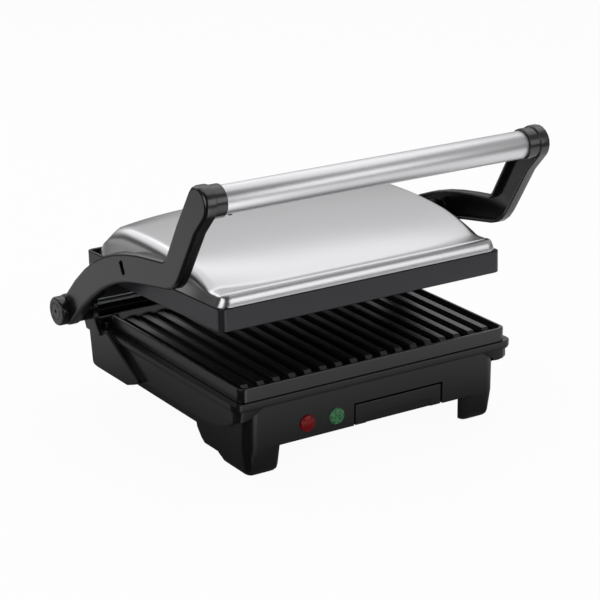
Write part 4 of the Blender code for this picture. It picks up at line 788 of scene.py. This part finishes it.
plain = add(ground, "MixShader", {0: seen, 1: diffuse, 2: white})
mix = add(ground, "MixShader", {0: rays["Is Glossy Ray"], 1: plain, 2: mirrored})
join(ground.node_tree.nodes["Material Output"], {"Surface": mix})
floor.data.materials.append(ground)
print("floor nodes:", len(ground.node_tree.nodes))

# %% [markdown]
# The world does the same above the floor. For the camera it is a plain pale backdrop, and its
# fill light is even and weak. Mirrored rays see a large white card behind the object, a greyer
# one at its right, and both fade towards the floor and the ceiling, so that the steel of the lid
# and the tube show their curves.

# %% World
BACKDROP = (0.45, 0.89, 0.0)
HEIGHT_RAMP = ((0.00, 0.10), (0.09, 0.28), (0.20, 0.60), (0.34, 0.72), (0.60, 0.66), (1.00, 0.55))
BACK_RAMP = ((0.00, 0.08), (0.73, 0.10), (0.80, 0.80), (0.85, 1.00))
RIGHT_RAMP = ((0.00, 0.06), (0.60, 0.08), (0.73, 0.50), (1.00, 0.60))
FILL = 0.35
world = bpy.data.worlds.new("studio")
bpy.context.scene.world = world
world.use_nodes = True
fill = world.node_tree.nodes["Background"]
join(fill, {"Color": (1, 1, 1, 1), "Strength": FILL})
bright = add(world, "Background", Strength=1.0)
direction = add(world, "TexCoord").outputs["Generated"]
axes = add(world, "SeparateXYZ", {"Vector": direction}).outputs
back = add(world, "VectorMath", {0: direction, 1: BACKDROP}, operation="DOT_PRODUCT")
back = add(world, "Math", {0: back.outputs["Value"], 1: 0.5, 2: 0.5}, operation="MULTIPLY_ADD")
back = add(world, "ValToRGB", {"Fac": back}, stops=greys(BACK_RAMP))
right = add(world, "Math", {0: axes["X"], 1: 0.5, 2: 0.5}, operation="MULTIPLY_ADD")
right = add(world, "ValToRGB", {"Fac": right}, stops=greys(RIGHT_RAMP))
up = add(world, "ValToRGB", {"Fac": axes["Z"]}, stops=greys(HEIGHT_RAMP))
cards = add(world, "Math", {0: back, 1: right}, operation="MAXIMUM")
cards = add(world, "Math", {0: cards, 1: up}, operation="MULTIPLY")
mirrored = add(world, "Background", {"Strength": cards}, Color=(1, 1, 1, 1))
rays = add(world, "LightPath").outputs
plain = add(world, "MixShader", {0: rays["Is Glossy Ray"], 1: fill, 2: mirrored})
picked = add(world, "MixShader", {0: rays["Is Camera Ray"], 1: plain, 2: bright})
join(world.node_tree.nodes["World Output"], {"Surface": picked})
print("world nodes:", len(world.node_tree.nodes))

# %% [markdown]
# Four softboxes light the press: a wide one above, a smaller one behind at the left for a soft
# highlight on the lid, one at the left and one in front. All are weak enough that a colour renders
# about as it is written.

# %% Lamps
def softbox(name, place, target, size, watts):
    """A rectangular area lamp at place, turned to target."""
    lamp = bpy.data.objects.new(name, bpy.data.lights.new(name, "AREA"))
    bpy.context.scene.collection.objects.link(lamp)
    lamp.data.shape = "RECTANGLE"
    lamp.data.size, lamp.data.size_y = size
    lamp.data.energy = watts
    lamp.location = place
    lamp.rotation_euler = (Vector(target) - Vector(place)).to_track_quat("-Z", "Y").to_euler()


softbox("top_softbox", (0.3, 0.5, 2.0), (0, 0, 0.1), (3.2, 2.4), 22)
softbox("rear_left_softbox", (-0.70, 1.45, 1.05), (-0.15, 0, 0.15), (1.2, 1.1), 3.5)
softbox("left_softbox", (-2.2, -0.6, 0.9), (0, 0, 0.12), (1.8, 1.4), 13)
softbox("front_softbox", (0.9, -2.2, 0.9), (0, 0, 0.12), (1.8, 1.2), 9)
bpy.context.scene.view_settings.view_transform = "Standard"
